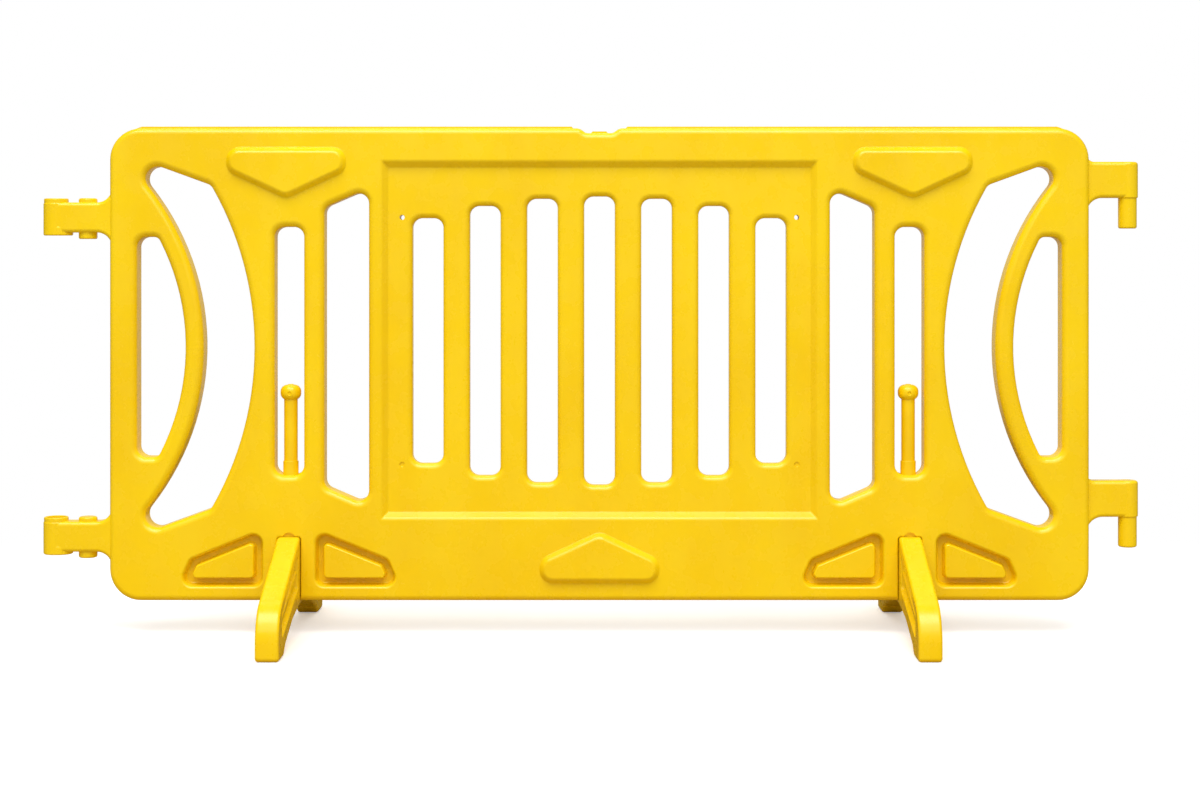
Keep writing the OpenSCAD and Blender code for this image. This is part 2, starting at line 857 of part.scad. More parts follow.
module foot(side) {
    color(yellow)
        at_foot(side)
            difference() {
                rotate([90, 0, 90])
                    difference() {
                        loft(trace(foot_arcs()), edge_profile(foot_t / 2, foot_edge_r));
                        both_ends()
                            both_faces()
                                pocket();
                    }
                translate([0, 0, post_bottom_z])
                    cylinder(d = post_root_d + 2 * pin_clearance, h = socket_depth + over);
                translate([0, 0, foot_pin_z])
                    rotate([0, 90, 0])
                        cylinder(d = foot_pin_d + 2 * pin_clearance, h = foot_t + over, center = true);
            }
}

module post(side) {
    root = post_root_d / 2;
    rod = post_d / 2;
    spigot = spigot_d / 2;
    step = turned_edge / 2;
    color(yellow)
        at_foot(side)
            difference() {
                rotate_extrude()
                    polygon([
                        [0, post_bottom_z], [root - step, post_bottom_z], [root, post_bottom_z + step],
                        [root, post_shoulder_z - step], [root - step, post_shoulder_z],
                        [rod, post_shoulder_z], [rod, knob_z], [spigot, knob_z],
                        [spigot, knob_z + spigot_l - step], [spigot - step, knob_z + spigot_l],
                        [0, knob_z + spigot_l]
                    ]);
                translate([0, 0, foot_pin_z])
                    rotate([0, 90, 0])
                        cylinder(d = foot_pin_d + 2 * pin_clearance, h = post_root_d + over, center = true);
                translate([0, 0, knob_pin_z])
                    rotate([90, 0, 0])
                        cylinder(d = knob_pin_d + 2 * pin_clearance, h = post_d + over, center = true);
            }
}

module knob(side) {
    r = knob_d / 2;
    rest_a = acos((post_d / 2 - r + knob_round) / knob_round);
    outline = trace([
        [[r - knob_round, knob_round * sin(rest_a)], knob_round, -rest_a, 0],
        [[r - knob_round, knob_h - knob_round], knob_round, 0, 90]
    ]);
    color(deep_yellow)
        at_foot(side)
            translate([0, 0, knob_z])
                difference() {
                    union() {
                        rotate_extrude()
                            polygon(concat([[0, 0]], [for (p = outline) p[0]], [[0, knob_h]]));
                        translate([0, 0, knob_h - turned_edge])
                            turned(nub_d / 2, turned_edge + nub_h, nub_h / 2, nub_h / 2);
                    }
                    translate([0, 0, -over])
                        cylinder(d = spigot_d + 2 * pin_clearance, h = spigot_l + over + pin_clearance);
                    translate([0, 0, knob_pin_z - knob_z])
                        rotate([90, 0, 0])
                            cylinder(d = knob_pin_d + 2 * pin_clearance, h = knob_d + over, center = true);
                }
}

module knob_pin(side) {
    l = knob_d - 2 * knob_pin_recess;
    color(deep_yellow)
        at_foot(side)
            translate([0, 0, knob_pin_z])
                rotate([90, 0, 0])
                    translate([0, 0, -l / 2])
                        turned(knob_pin_d / 2, l, pin_bevel, pin_bevel);
}

module foot_pin(side) {
    l = foot_t - 2 * foot_pin_recess;
    color(steel)
        at_foot(side)
            translate([0, 0, foot_pin_z])
                rotate([0, 90, 0])
                    translate([0, 0, -l / 2])
                        turned(foot_pin_d / 2, l, pin_bevel, pin_bevel);
}

// Moves a piece from the panel's middle to the frame's origin
module framed() {
    translate([frame_x, 0, 0])
        children();
}

framed() panel();
framed() knuckle(knuckle_arm_z);  // upper_knuckle
framed() knuckle(knuckle_arm_z - link_spacing);  // lower_knuckle
framed() hook(hook_shoulder_z);  // upper_hook
framed() hook(hook_shoulder_z - link_spacing);  // lower_hook
framed() foot(-1);  // left_foot
framed() post(-1);  // left_post
framed() knob(-1);  // left_knob
framed() knob_pin(-1);  // left_knob_pin
framed() foot_pin(-1);  // left_foot_pin
framed() foot(1);  // right_foot
framed() post(1);  // right_post
framed() knob(1);  // right_knob
framed() knob_pin(1);  // right_knob_pin
framed() foot_pin(1);  // right_foot_pin
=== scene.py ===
"""Linking pedestrian barrier panel in moulded yellow plastic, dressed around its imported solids."""

from __future__ import annotations

import logging
import math
from dataclasses import dataclass
from enum import Enum

import bpy
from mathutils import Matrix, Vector

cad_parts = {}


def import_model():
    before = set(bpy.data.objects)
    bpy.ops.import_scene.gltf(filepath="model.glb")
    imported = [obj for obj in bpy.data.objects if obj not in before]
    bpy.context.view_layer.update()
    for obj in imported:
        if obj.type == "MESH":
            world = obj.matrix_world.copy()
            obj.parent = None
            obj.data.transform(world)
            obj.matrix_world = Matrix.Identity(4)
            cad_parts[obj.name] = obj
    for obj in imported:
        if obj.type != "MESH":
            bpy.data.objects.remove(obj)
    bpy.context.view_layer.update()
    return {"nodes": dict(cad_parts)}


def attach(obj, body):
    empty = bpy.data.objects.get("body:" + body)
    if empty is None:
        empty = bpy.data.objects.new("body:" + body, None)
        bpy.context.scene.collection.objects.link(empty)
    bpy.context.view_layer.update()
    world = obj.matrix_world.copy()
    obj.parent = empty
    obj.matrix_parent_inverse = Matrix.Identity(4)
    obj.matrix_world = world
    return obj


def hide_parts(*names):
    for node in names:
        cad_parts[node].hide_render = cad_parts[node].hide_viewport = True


LOG = logging.getLogger("barrier")

# Metres: one millimetre, the size of a drawing's first point, and how near two points are one
MM = 0.001
SEED = 0.001
WELD = 2e-5
# Millimetres: how far a cutter goes past a face, and how far the last ring of a rounding stands off it
OVER = 2.0
PROUD = 0.04
# Weight of large faces where shading is evened, with 50 for neutral
FACE_WEIGHT = 80
# Millimetres: the panel's middle in the frame, its ends, the feet's middles and the pins through the feet
FRAME_X = 17.5
END_X = 974.0
FOOT_X = 617.0
FOOT_PIN_Z = 140.0
FOOT_PIN_D = 8.2
BODY = "barrier"

Piece = bpy.types.Object
Socket = bpy.types.NodeSocket
Point = tuple[float, float]
Place = tuple[float, float, float]
Colour = tuple[float, float, float]
Profile = list[Point]
# Distances from a wall's floor or face, each with how far the outline has grown there
Steps = tuple[Point, ...]


class Mirror(Enum):
    """Way that a copy is mirrored, from end to end or from face to face, as the scale of each axis."""

    ACROSS = (-1, 1, 1)
    THROUGH = (1, -1, 1)


class Change(Enum):
    """What a tool does to a piece."""

    ADD = "UNION"
    CUT = "DIFFERENCE"


class View(Enum):
    """Plane that an outline is drawn in, given by its right, up and near directions."""

    FRONT = (Vector((1, 0, 0)), Vector((0, 0, 1)), Vector((0, -1, 0)))
    SIDE = (Vector((0, 1, 0)), Vector((0, 0, 1)), Vector((1, 0, 0)))

    def place(self, point: Point, depth: float) -> Vector:
        """Place in metres of a drawn point and its depth towards the viewer, both in millimetres."""
        right, up, near = self.value
        return (right * point[0] + up * point[1] + near * depth) * MM

    def turning_axis(self) -> Vector:
        """Axis about which spin turns from right to up."""
        return -self.value[2]


@dataclass(frozen=True)
class Arc:
    """Part of an outline: an arc in degrees, hollow where it turns clockwise; a radius of 0 is a point."""

    centre: Point
    radius: float = 0.0
    start: float = 0.0
    end: float = 0.0

    def at(self, angle: float) -> Point:
        """Point of the arc at an angle in degrees."""
        a = math.radians(angle)
        return (self.centre[0] + self.radius * math.cos(a), self.centre[1] + self.radius * math.sin(a))

    def grown(self, by: float) -> Arc:
        """The same arc on an outline that is moved outwards."""
        way = 1.0 if self.end >= self.start else -1.0
        return Arc(self.centre, self.radius + way * by, self.start, self.end)

    def steps(self, fine: float = 9.0, chord: float = 24.0) -> int:
        """Number of straight pieces that stand for the arc.

        Args:
            fine: Widest angle of a piece, in degrees.
            chord: Greatest length of a piece.

        Returns:
            Their number.
        """
        sweep = abs(self.end - self.start)
        length = math.radians(sweep) * self.radius
        return max(1, math.ceil(sweep / fine), math.ceil(length / chord))


Outline = list[Arc]


def corner(p: Point, q: Point, s: Point, r: float) -> Arc:
    """Rounded corner at q on the way from p to s.

    Args:
        p: Point before the corner.
        q: The sharp corner.
        s: Point after the corner.
        r: Radius of the rounding.

    Returns:
        The arc that rounds the corner.
    """
    d0 = Vector((q[0] - p[0], q[1] - p[1])).normalized()
    d1 = Vector((s[0] - q[0], s[1] - q[1])).normalized()
    turn = math.atan2(d0.x * d1.y - d0.y * d1.x, d0.dot(d1))
    way = 1.0 if turn > 0 else -1.0
    n = Vector((d0.y, -d0.x)) * way
    c = Vector(q) - d0 * r * math.tan(abs(turn) / 2) - n * r
    a = math.degrees(math.atan2(n.y, n.x))
    return Arc((c.x, c.y), r, a, a + math.degrees(turn))


def rounded(points: list[Point], radii: list[float]) -> Outline:
    """Closed polygon with a radius for each corner, counter-clockwise."""
    n = len(points)
    return [corner(points[i - 1], points[i], points[(i + 1) % n], radii[i]) for i in range(n)]


def inset(points: list[Point], by: float) -> list[Point]:
    """Polygon with every side moved inwards, counter-clockwise.

    Args:
        points: Its corners.
        by: Distance.

    Returns:
        The corners of the smaller polygon.
    """
    moved = []
    for i, q in enumerate(points):
        p, s = points[i - 1], points[(i + 1) % len(points)]
        d0 = Vector((q[0] - p[0], q[1] - p[1])).normalized()
        d1 = Vector((s[0] - q[0], s[1] - q[1])).normalized()
        n0, n1 = Vector((-d0.y, d0.x)), Vector((-d1.y, d1.x))
        moved.append(tuple(Vector(q) + (n0 + n1) * by / (1 + n0.dot(n1))))
    return moved


def rounded_rect(w: float, h: float, r: float, x: float = 0.0, z: float = 0.0) -> Outline:
    """Rectangle with rounded corners about (x, z)."""
    w, h = w / 2, h / 2
    return rounded([(x - w, z - h), (x + w, z - h), (x + w, z + h), (x - w, z + h)], [r] * 4)


def quarter(r: float, steps: int) -> Profile:
    """Quarter round from a face down to its side, as drop and inset."""
    turns = [math.pi / 2 * i / steps for i in range(steps + 1)]
    return [(r - r * math.cos(t), r - r * math.sin(t)) for t in turns]


def edge_profile(half: float, r: float, steps: int = 6) -> Profile:
    """Profile of a plate with rounded edges, from back to front."""
    q = quarter(r, steps)
    return [(d - half, -i) for d, i in q] + [(half - d, -i) for d, i in reversed(q)]


def rim_profile(half: float, r: float, steps: int = 6) -> Profile:
    """Profile of a through cut with rounded rims, from back to front.

    Args:
        half: Half of the plate's thickness.
        r: Radius of the rims.
        steps: Facets of a rim.

    Returns:
        Depth and growth of each section.
    """
    q = [(d if d else -PROUD, i) for d, i in quarter(r, steps)]
    inner = [(d - half, i) for d, i in q] + [(half - d, i) for d, i in reversed(q)]
    return [(-half - OVER, r)] + inner + [(half + OVER, r)]


def wall_profile(floor: float, face: float, foot: Steps, lip: Steps) -> Profile:
    """Profile of a wall from its floor up to its face, with the steps above the one and below the other."""
    return [(floor + d, g) for d, g in foot] + [(face - d, g) for d, g in lip]


def circle(x: float, z: float, r: float) -> Outline:
    """Circle of two half turns."""
    return [Arc((x, z), r, 0.0, 180.0), Arc((x, z), r, 180.0, 360.0)]


class Bench:
    """Modelling steps shared by every piece."""

    @staticmethod
    def clear() -> None:
        """Leaves edit mode and deselects everything."""
        if bpy.context.object and bpy.context.object.mode != "OBJECT":
            bpy.ops.object.mode_set(mode="OBJECT")
        bpy.ops.object.select_all(action="DESELECT")

    @staticmethod
    def activate(obj: Piece) -> None:
        """Makes obj the only selected object and the active one.

        Args:
            obj: The object.
        """
        Bench.clear()
        obj.select_set(True)
        bpy.context.view_layer.objects.active = obj

    @staticmethod
    def edit_all(obj: Piece) -> None:
        """Opens obj in edit mode with all of it selected.

        Args:
            obj: The object.
        """
        Bench.activate(obj)
        bpy.ops.object.mode_set(mode="EDIT")
        bpy.ops.mesh.select_mode(type="VERT")
        bpy.ops.mesh.select_all(action="SELECT")

    @staticmethod
    def start(name: str, place: Vector) -> Piece:
        """New object whose mesh is one point, open in edit mode.

        Args:
            name: Name of the object.
            place: Place of the point in metres.

        Returns:
            The new object.
        """
        Bench.clear()
        bpy.ops.mesh.primitive_plane_add(size=SEED, location=place)
        obj = bpy.context.object
        obj.name = name
        obj.data.name = name
        Bench.edit_all(obj)
        bpy.ops.mesh.merge(type="CENTER")
        return obj

    @staticmethod
    def trace(arcs: Outline, view: View, depth: float, closed: bool = True) -> None:
        """Draws an outline from the selected point on, by spinning its arcs and extruding between them.

        Args:
            arcs: The outline, whose first point is the selected one.
            view: Plane of the drawing.
            depth: Distance of the drawing towards the viewer.
            closed: Whether the outline ends where it began.
        """
        for i, arc in enumerate(arcs):
            if arc.radius > 0 and arc.end != arc.start:
                bpy.ops.mesh.spin(
                    steps=arc.steps(),
                    angle=math.radians(arc.end - arc.start),
                    center=view.place(arc.centre, depth),
                    axis=view.turning_axis(),
                )
            if not closed and i == len(arcs) - 1:
                break
            following = arcs[(i + 1) % len(arcs)]
            move = view.place(following.at(following.start), depth) - view.place(arc.at(arc.end), depth)
            bpy.ops.mesh.extrude_region_move(TRANSFORM_OT_translate={"value": move})

    @staticmethod
    def skin(name: str, view: View, sections: list[tuple[float, Outline]]) -> Piece:
        """Closed solid through outlines of equal kind.

        Args:
            name: Name of the new object.
            view: Plane of the outlines.
            sections: Depth and outline of each section, from far to near.

        Returns:
            The solid.
        """
        obj = None
        for depth, arcs in sections:
            place = view.place(arcs[0].at(arcs[0].start), depth)
            if obj is None:
                obj = Bench.start(name, place)
            else:
                bpy.ops.mesh.primitive_plane_add(size=SEED, location=place)
                bpy.ops.mesh.merge(type="CENTER")
            Bench.trace(arcs, view, depth)
        bpy.ops.mesh.select_all(action="SELECT")
        bpy.ops.mesh.remove_doubles(threshold=WELD)
        bpy.ops.mesh.bridge_edge_loops(type="SINGLE")
        bpy.ops.mesh.select_all(action="SELECT")
        bpy.ops.mesh.fill_holes(sides=0)
        return Bench.close(obj)

    @staticmethod
    def loft(name: str, view: View, outline: Outline, profile: Profile) -> Piece:
        """Solid through one outline that a profile grows and shrinks on its way to the viewer."""
        return Bench.skin(name, view, [(d, [arc.grown(g) for arc in outline]) for d, g in profile])

    @staticmethod
    def turned(name: str, path: Outline, x: float, steps: int = 64) -> Piece:
        """Turned solid about the upright axis at x.

        Args:
            name: Name of the new object.
            path: Radius and height along the piece's side, open, from axis to axis.
            x: Place of the axis.
            steps: Number of facets round the axis.

        Returns:
            The solid.
        """
        shifted = [Arc((arc.centre[0] + x, arc.centre[1]), arc.radius, arc.start, arc.end) for arc in path]
        obj = Bench.start(name, View.FRONT.place(shifted[0].at(shifted[0].start), 0))
        Bench.trace(shifted, View.FRONT, 0, closed=False)
        bpy.ops.mesh.select_all(action="SELECT")
        bpy.ops.mesh.spin(steps=steps, angle=math.tau, center=(x * MM, 0, 0), axis=(0, 0, 1))
        bpy.ops.mesh.select_all(action="SELECT")
        bpy.ops.mesh.remove_doubles(threshold=WELD)
        return Bench.close(obj)

    @staticmethod
    def close(obj: Piece) -> Piece:
        """Turns all faces outwards and puts the object's place into its mesh.

        Args:
            obj: The object, open in edit mode.

        Returns:
            The same object, in object mode.
        """
        bpy.ops.mesh.select_all(action="SELECT")
        bpy.ops.mesh.normals_make_consistent(inside=False)
        bpy.ops.object.mode_set(mode="OBJECT")
        Bench.activate(obj)
        bpy.ops.object.transform_apply(location=True, rotation=True, scale=True)
        return obj

    @staticmethod
    def copy(obj: Piece, name: str, move: Vector | None = None) -> Piece:
        """Copy of a piece with a mesh of its own, moved in its mesh.

        Args:
            obj: The piece.
            name: Name of the copy.
            move: How far the copy is moved, in metres.

        Returns:
            The copy.
        """
        twin = obj.copy()
        twin.data = obj.data.copy()
        twin.name = name
        twin.data.name = name
        bpy.context.scene.collection.objects.link(twin)
        if move is not None:
            Bench.edit_all(twin)
            bpy.ops.transform.translate(value=move)
            bpy.ops.object.mode_set(mode="OBJECT")
        return twin

    @staticmethod
    def mirrored(obj: Piece, way: Mirror) -> Piece:
        """Mirrored copy about the middle of the drawing.

        Args:
            obj: The piece.
            way: Way that it is mirrored.

        Returns:
            The copy, with its faces turned outwards.
        """
        twin = Bench.copy(obj, obj.name + "_mirrored")
        Bench.edit_all(twin)
        bpy.ops.transform.resize(value=way.value, center_override=(0, 0, 0))
        return Bench.close(twin)

    @staticmethod
    def both(pieces: list[Piece], way: Mirror) -> list[Piece]:
        """Pieces and their mirrored copies."""
        return pieces + [Bench.mirrored(piece, way) for piece in pieces]

    @staticmethod
    def join(pieces: list[Piece]) -> Piece:
        """Puts separate pieces into the first one's mesh.

        Args:
            pieces: Pieces that don't touch each other.

        Returns:
            The first one, with all of them.
        """
        Bench.activate(pieces[0])
        for piece in pieces[1:]:
            piece.select_set(True)
        if len(pieces) > 1:
            bpy.ops.object.join()
        return pieces[0]

    @staticmethod
    def combine(obj: Piece, tools: list[Piece], change: Change) -> None:
        """Adds or cuts separate tools, which are used up.

        Args:
            obj: The piece that stays.
            tools: Solids that don't touch each other.
            change: Whether they are added or cut.
        """
        tool = Bench.join(tools)
        Bench.activate(obj)
        modifier = obj.modifiers.new("combine", "BOOLEAN")
        modifier.operation = change.value
        modifier.solver = "EXACT"
        modifier.object = tool
        bpy.ops.object.modifier_apply(modifier=modifier.name)
        bpy.data.objects.remove(tool)

    @staticmethod
    def finish(obj: Piece, smooth: float = 40.0, move: float = FRAME_X) -> None:
        """Puts a finished piece in its place and smooths its roundings.

        Args:
            obj: The piece.
            smooth: Angle in degrees up to which neighbours shade as one surface.
            move: Distance along X from where it was drawn.
        """
        Bench.edit_all(obj)
        bpy.ops.transform.translate(value=(move * MM, 0, 0))
        bpy.ops.mesh.remove_doubles(threshold=WELD)
        bpy.ops.mesh.dissolve_degenerate(threshold=WELD)
        bpy.ops.mesh.select_all(action="SELECT")
        bpy.ops.mesh.normals_make_consistent(inside=False)
        bpy.ops.object.mode_set(mode="OBJECT")
        Bench.activate(obj)
        bpy.ops.object.shade_smooth_by_angle(angle=math.radians(smooth))
        modifier = obj.modifiers.new("even", "WEIGHTED_NORMAL")
        modifier.keep_sharp = True
        modifier.weight = FACE_WEIGHT
        bpy.ops.object.modifier_apply(modifier=modifier.name)

    @staticmethod
    def pair(right: Piece, node: str) -> dict[str, Piece]:
        """Finishes a piece that was drawn about X = 0, on the middle of the right foot and of the left one.

        Args:
            right: The piece at the right.
            node: Name of the node without its side.

        Returns:
            Both pieces by the name of the node that each stands for.
        """
        Bench.finish(right, move=FRAME_X + FOOT_X)
        left = Bench.copy(right, right.name.replace("right", "left"), Vector((-2 * FOOT_X * MM, 0, 0)))
        return {"right_" + node: right, "left_" + node: left}


class Value:
    """Number in a material's nodes; Python's operators add its Math nodes."""

    def __init__(self, graph: Graph, socket: Socket) -> None:
        """Wraps a socket of a graph."""
        self.graph = graph
        self.socket = socket

    def math(self, operation: str, *others: Value | float) -> Value:
        """Math node on this value and others."""
        inputs = {i: v for i, v in enumerate((self, *others))}
        return self.graph.value("ShaderNodeMath", {"operation": operation}, inputs)

    def __add__(self, other: Value | float) -> Value:
        """Sum."""
        return self.math("ADD", other)

    __radd__ = __add__

    def __mul__(self, other: Value | float) -> Value:
        """Product."""
        return self.math("MULTIPLY", other)

    __rmul__ = __mul__

    def __sub__(self, other: Value | float) -> Value:
        """Difference."""
        return self.math("SUBTRACT", other)

    def __rsub__(self, other: float) -> Value:
        """Difference from a number."""
        return self.graph.value("ShaderNodeMath", {"operation": "SUBTRACT"}, {0: other, 1: self})

    def ramp(self, low: float, high: float, bottom: float = 0.0, top: float = 1.0) -> Value:
        """Smooth step from bottom to top while this value goes from low to high.

        Args:
            low: Where the step starts.
            high: Where it ends.
            bottom: Result up to its start.
            top: Result from its end on.

        Returns:
            The new value.
        """
        inputs = {"Value": self, "From Min": low, "From Max": high, "To Min": bottom, "To Max": top}
        settings = {"interpolation_type": "SMOOTHSTEP"}
        return self.graph.value("ShaderNodeMapRange", settings, inputs)


class Graph:
    """Node tree of one material or world."""

    def __init__(self, owner: bpy.types.Material | bpy.types.World) -> None:
        """Starts a node tree afresh.

        Args:
            owner: The material or world that it belongs to.
        """
        owner.use_nodes = True
        self.tree = owner.node_tree
        self.tree.nodes.clear()

    def node(self, kind: str, settings: dict | None = None, inputs: dict | None = None) -> bpy.types.Node:
        """Adds a node.

        Args:
            kind: Type of the node.
            settings: Properties that are set first.
            inputs: Value or link of each socket, by name or number.

        Returns:
            The node.
        """
        node = self.tree.nodes.new(kind)
        for key, value in (settings or {}).items():
            setattr(node, key, value)
        for key, value in (inputs or {}).items():
            if isinstance(value, Value):
                self.tree.links.new(value.socket, node.inputs[key])
            elif isinstance(value, Socket):
                self.tree.links.new(value, node.inputs[key])
            else:
                node.inputs[key].default_value = value
        return node

    def value(self, kind: str, settings: dict | None = None, inputs: dict | None = None,
              output: int | str = 0) -> Value:
        """Adds a node and wraps one of its outputs."""
        return Value(self, self.node(kind, settings, inputs).outputs[output])

    def mix(self, factor: Value | Socket | float, a: object, b: object) -> Socket:
        """Colour between a and b."""
        node = self.node("ShaderNodeMix", {"data_type": "RGBA"}, {0: factor, 6: a, 7: b})
        return node.outputs[2]

    def place(self, scale: Place) -> Socket:
        """Object coordinates, stretched along each axis."""
        where = self.node("ShaderNodeTexCoord").outputs["Object"]
        return self.node("ShaderNodeMapping", None, {"Vector": where, "Scale": scale}).outputs[0]

    def noise(self, where: Socket, scale: float, detail: float, rough: float = 0.5) -> Value:
        """Cloudy noise between 0 and 1."""
        inputs = {"Vector": where, "Scale": scale, "Detail": detail, "Roughness": rough}
        return self.value("ShaderNodeTexNoise", None, inputs)


def rgba(colour: Colour) -> tuple[float, float, float, float]:
    """Opaque colour."""
    return (*colour, 1.0)


@dataclass(frozen=True)
class Finish:
    """Look of a piece: the names of its material and of its slot."""

    name: str
    slot: str

    def shader(self, g: Graph) -> bpy.types.Node:
        """Adds the finish's nodes and returns the last one."""
        raise NotImplementedError

    def material(self) -> bpy.types.Material:
        """Builds the material.

        Returns:
            The material.
        """
        material = bpy.data.materials.new(self.name)
        g = Graph(material)
        g.node("ShaderNodeOutputMaterial", None, {"Surface": self.shader(g).outputs[0]})
        return material


@dataclass(frozen=True)
class MouldedPlastic(Finish):
    """Satin polyethylene: cloudy colour, faint flow streaks, fine grain, and light scuffs."""

    tone: Colour
    deep: Colour
    pale: Colour
    roughness: float = 0.26
    polish: float = 0.05
    wear: float = 0.07
    wear_scale: float = 22.0
    wear_step: Point = (0.3, 0.7)
    cloud_scale: float = 3.2
    cloud_step: Point = (0.30, 0.72)
    streak: float = 0.35
    streak_scale: float = 9.0
    streak_step: Point = (0.38, 0.70)
    streak_squeeze: float = 0.28
    grain: float = 0.05
    grain_scale: float = 900.0
    swell_scale: float = 14.0
    bump: float = 0.06
    bump_depth: float = 0.004
    scuff: float = 0.075
    scuff_fade: Point = (0.6, 0.35)
    speck_scale: float = 260.0
    speck_step: Point = (0.66, 0.74)
    patch_scale: float = 7.0
    patch_step: Point = (0.52, 0.68)

    def shader(self, g: Graph) -> bpy.types.Node:
        """Adds the plastic's nodes.

        Args:
            g: Nodes of the material.

        Returns:
            The node of the finished surface.
        """
        even = g.place((1.0, 1.0, 1.0))
        drawn = g.place((1.0, 1.0, self.streak_squeeze))
        cloud = g.noise(even, self.cloud_scale, 3.0, 0.55).ramp(*self.cloud_step)
        flow = g.noise(drawn, self.streak_scale, 4.0, 0.6).ramp(*self.streak_step)
        colour = g.mix(cloud, rgba(self.deep), rgba(self.tone))
        colour = g.mix(flow * self.streak, colour, rgba(self.pale))
        speck = g.noise(even, self.speck_scale, 2.0).ramp(*self.speck_step)
        patch = g.noise(even, self.patch_scale, 2.0).ramp(*self.patch_step)
        scuff = speck * patch * self.scuff
        share, white = self.scuff_fade
        colour = g.mix(scuff, colour, rgba(tuple(share * c + white for c in self.pale)))
        wear = g.noise(even, self.wear_scale, 4.0, 0.6)
        smooth, worn = self.roughness - self.polish, self.roughness + self.wear
        roughness = wear.ramp(*self.wear_step, smooth, worn) + scuff
        height = g.noise(even, self.grain_scale, 2.0, 0.6) * self.grain + g.noise(even, self.swell_scale, 2.0)
        bump = g.node("ShaderNodeBump", None, {"Strength": self.bump, "Distance": self.bump_depth,
                                               "Height": height})
        inputs = {
            "Base Color": colour,
            "Roughness": roughness,
            "Normal": bump.outputs[0],
            "IOR": 1.5,
            "Specular IOR Level": 0.5,
        }
        return g.node("ShaderNodeBsdfPrincipled", None, inputs)


@dataclass(frozen=True)
class PlatedSteel(Finish):
    """Zinc-plated pin steel with drawn lines."""

    tone: Colour = (0.56, 0.57, 0.60)
    dull: Colour = (0.40, 0.41, 0.43)
    line_scale: float = 900.0
    line_stretch: float = 0.05
    patch_scale: float = 120.0
    tone_step: Point = (0.35, 0.65)
    rough_step: Point = (0.2, 0.8)
    roughness: Point = (0.28, 0.45)
    bump: float = 0.1
    bump_depth: float = 0.0005

    def shader(self, g: Graph) -> bpy.types.Node:
        """Adds the steel's nodes.

        Args:
            g: Nodes of the material.

        Returns:
            The node of the finished surface.
        """
        lines = g.noise(g.place((self.line_stretch, 1.0, 1.0)), self.line_scale, 3.0)
        patch = g.noise(g.place((1.0, 1.0, 1.0)), self.patch_scale, 3.0)
        colour = g.mix(patch.ramp(*self.tone_step), rgba(self.dull), rgba(self.tone))
        bump = g.node("ShaderNodeBump", None, {"Strength": self.bump, "Distance": self.bump_depth,
                                               "Height": lines})
        inputs = {
            "Base Color": colour,
            "Metallic": 1.0,
            "Roughness": patch.ramp(*self.rough_step, *self.roughness),
            "Normal": bump.outputs[0],
        }
        return g.node("ShaderNodeBsdfPrincipled", None, inputs)


PANEL_PLASTIC = MouldedPlastic(
    "panel_plastic", "moulded_plastic",
    tone=(0.95, 0.645, 0.0015), deep=(0.90, 0.585, 0.001), pale=(0.96, 0.70, 0.006),
)
POST_PLASTIC = MouldedPlastic(
    "post_plastic", "post_plastic",
    tone=(0.95, 0.645, 0.0015), deep=(0.88, 0.56, 0.001), pale=(0.95, 0.67, 0.005),
    roughness=0.33, cloud_scale=12.0, streak=0.25,
)
KNOB_PLASTIC = MouldedPlastic(
    "knob_plastic", "knob_plastic",
    tone=(0.95, 0.645, 0.0015), deep=(0.88, 0.55, 0.001), pale=(0.95, 0.67, 0.005),
    roughness=0.28, cloud_scale=20.0, streak=0.2,
)
PIN_STEEL = PlatedSteel("pin_steel", "steel_pin")


class Wardrobe:
    """Materials by finish, each built once, and the way a piece puts one on."""

    def __init__(self) -> None:
        """Starts empty."""
        self.made: dict[str, bpy.types.Material] = {}

    def dress(self, obj: Piece, finish: Finish) -> None:
        """Gives a piece its only material.

        Args:
            obj: The piece.
            finish: Its finish.
        """
        if finish.name not in self.made:
            self.made[finish.name] = finish.material()
        obj.data.materials.clear()
        obj.data.materials.append(self.made[finish.name])

    def hand_over(self, obj: Piece, finish: Finish, body: str, *nodes: str) -> None:
        """Dresses a finished piece and lets it stand for CAD nodes on a body.

        Args:
            obj: The piece.
            finish: Its finish.
            body: The body that it rides on.
            nodes: The nodes that it replaces.
        """
        self.dress(obj, finish)
        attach(obj, body)
        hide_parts(*nodes)
        LOG.info("%s: %d faces, rides on %s", obj.name, len(obj.data.polygons), body)


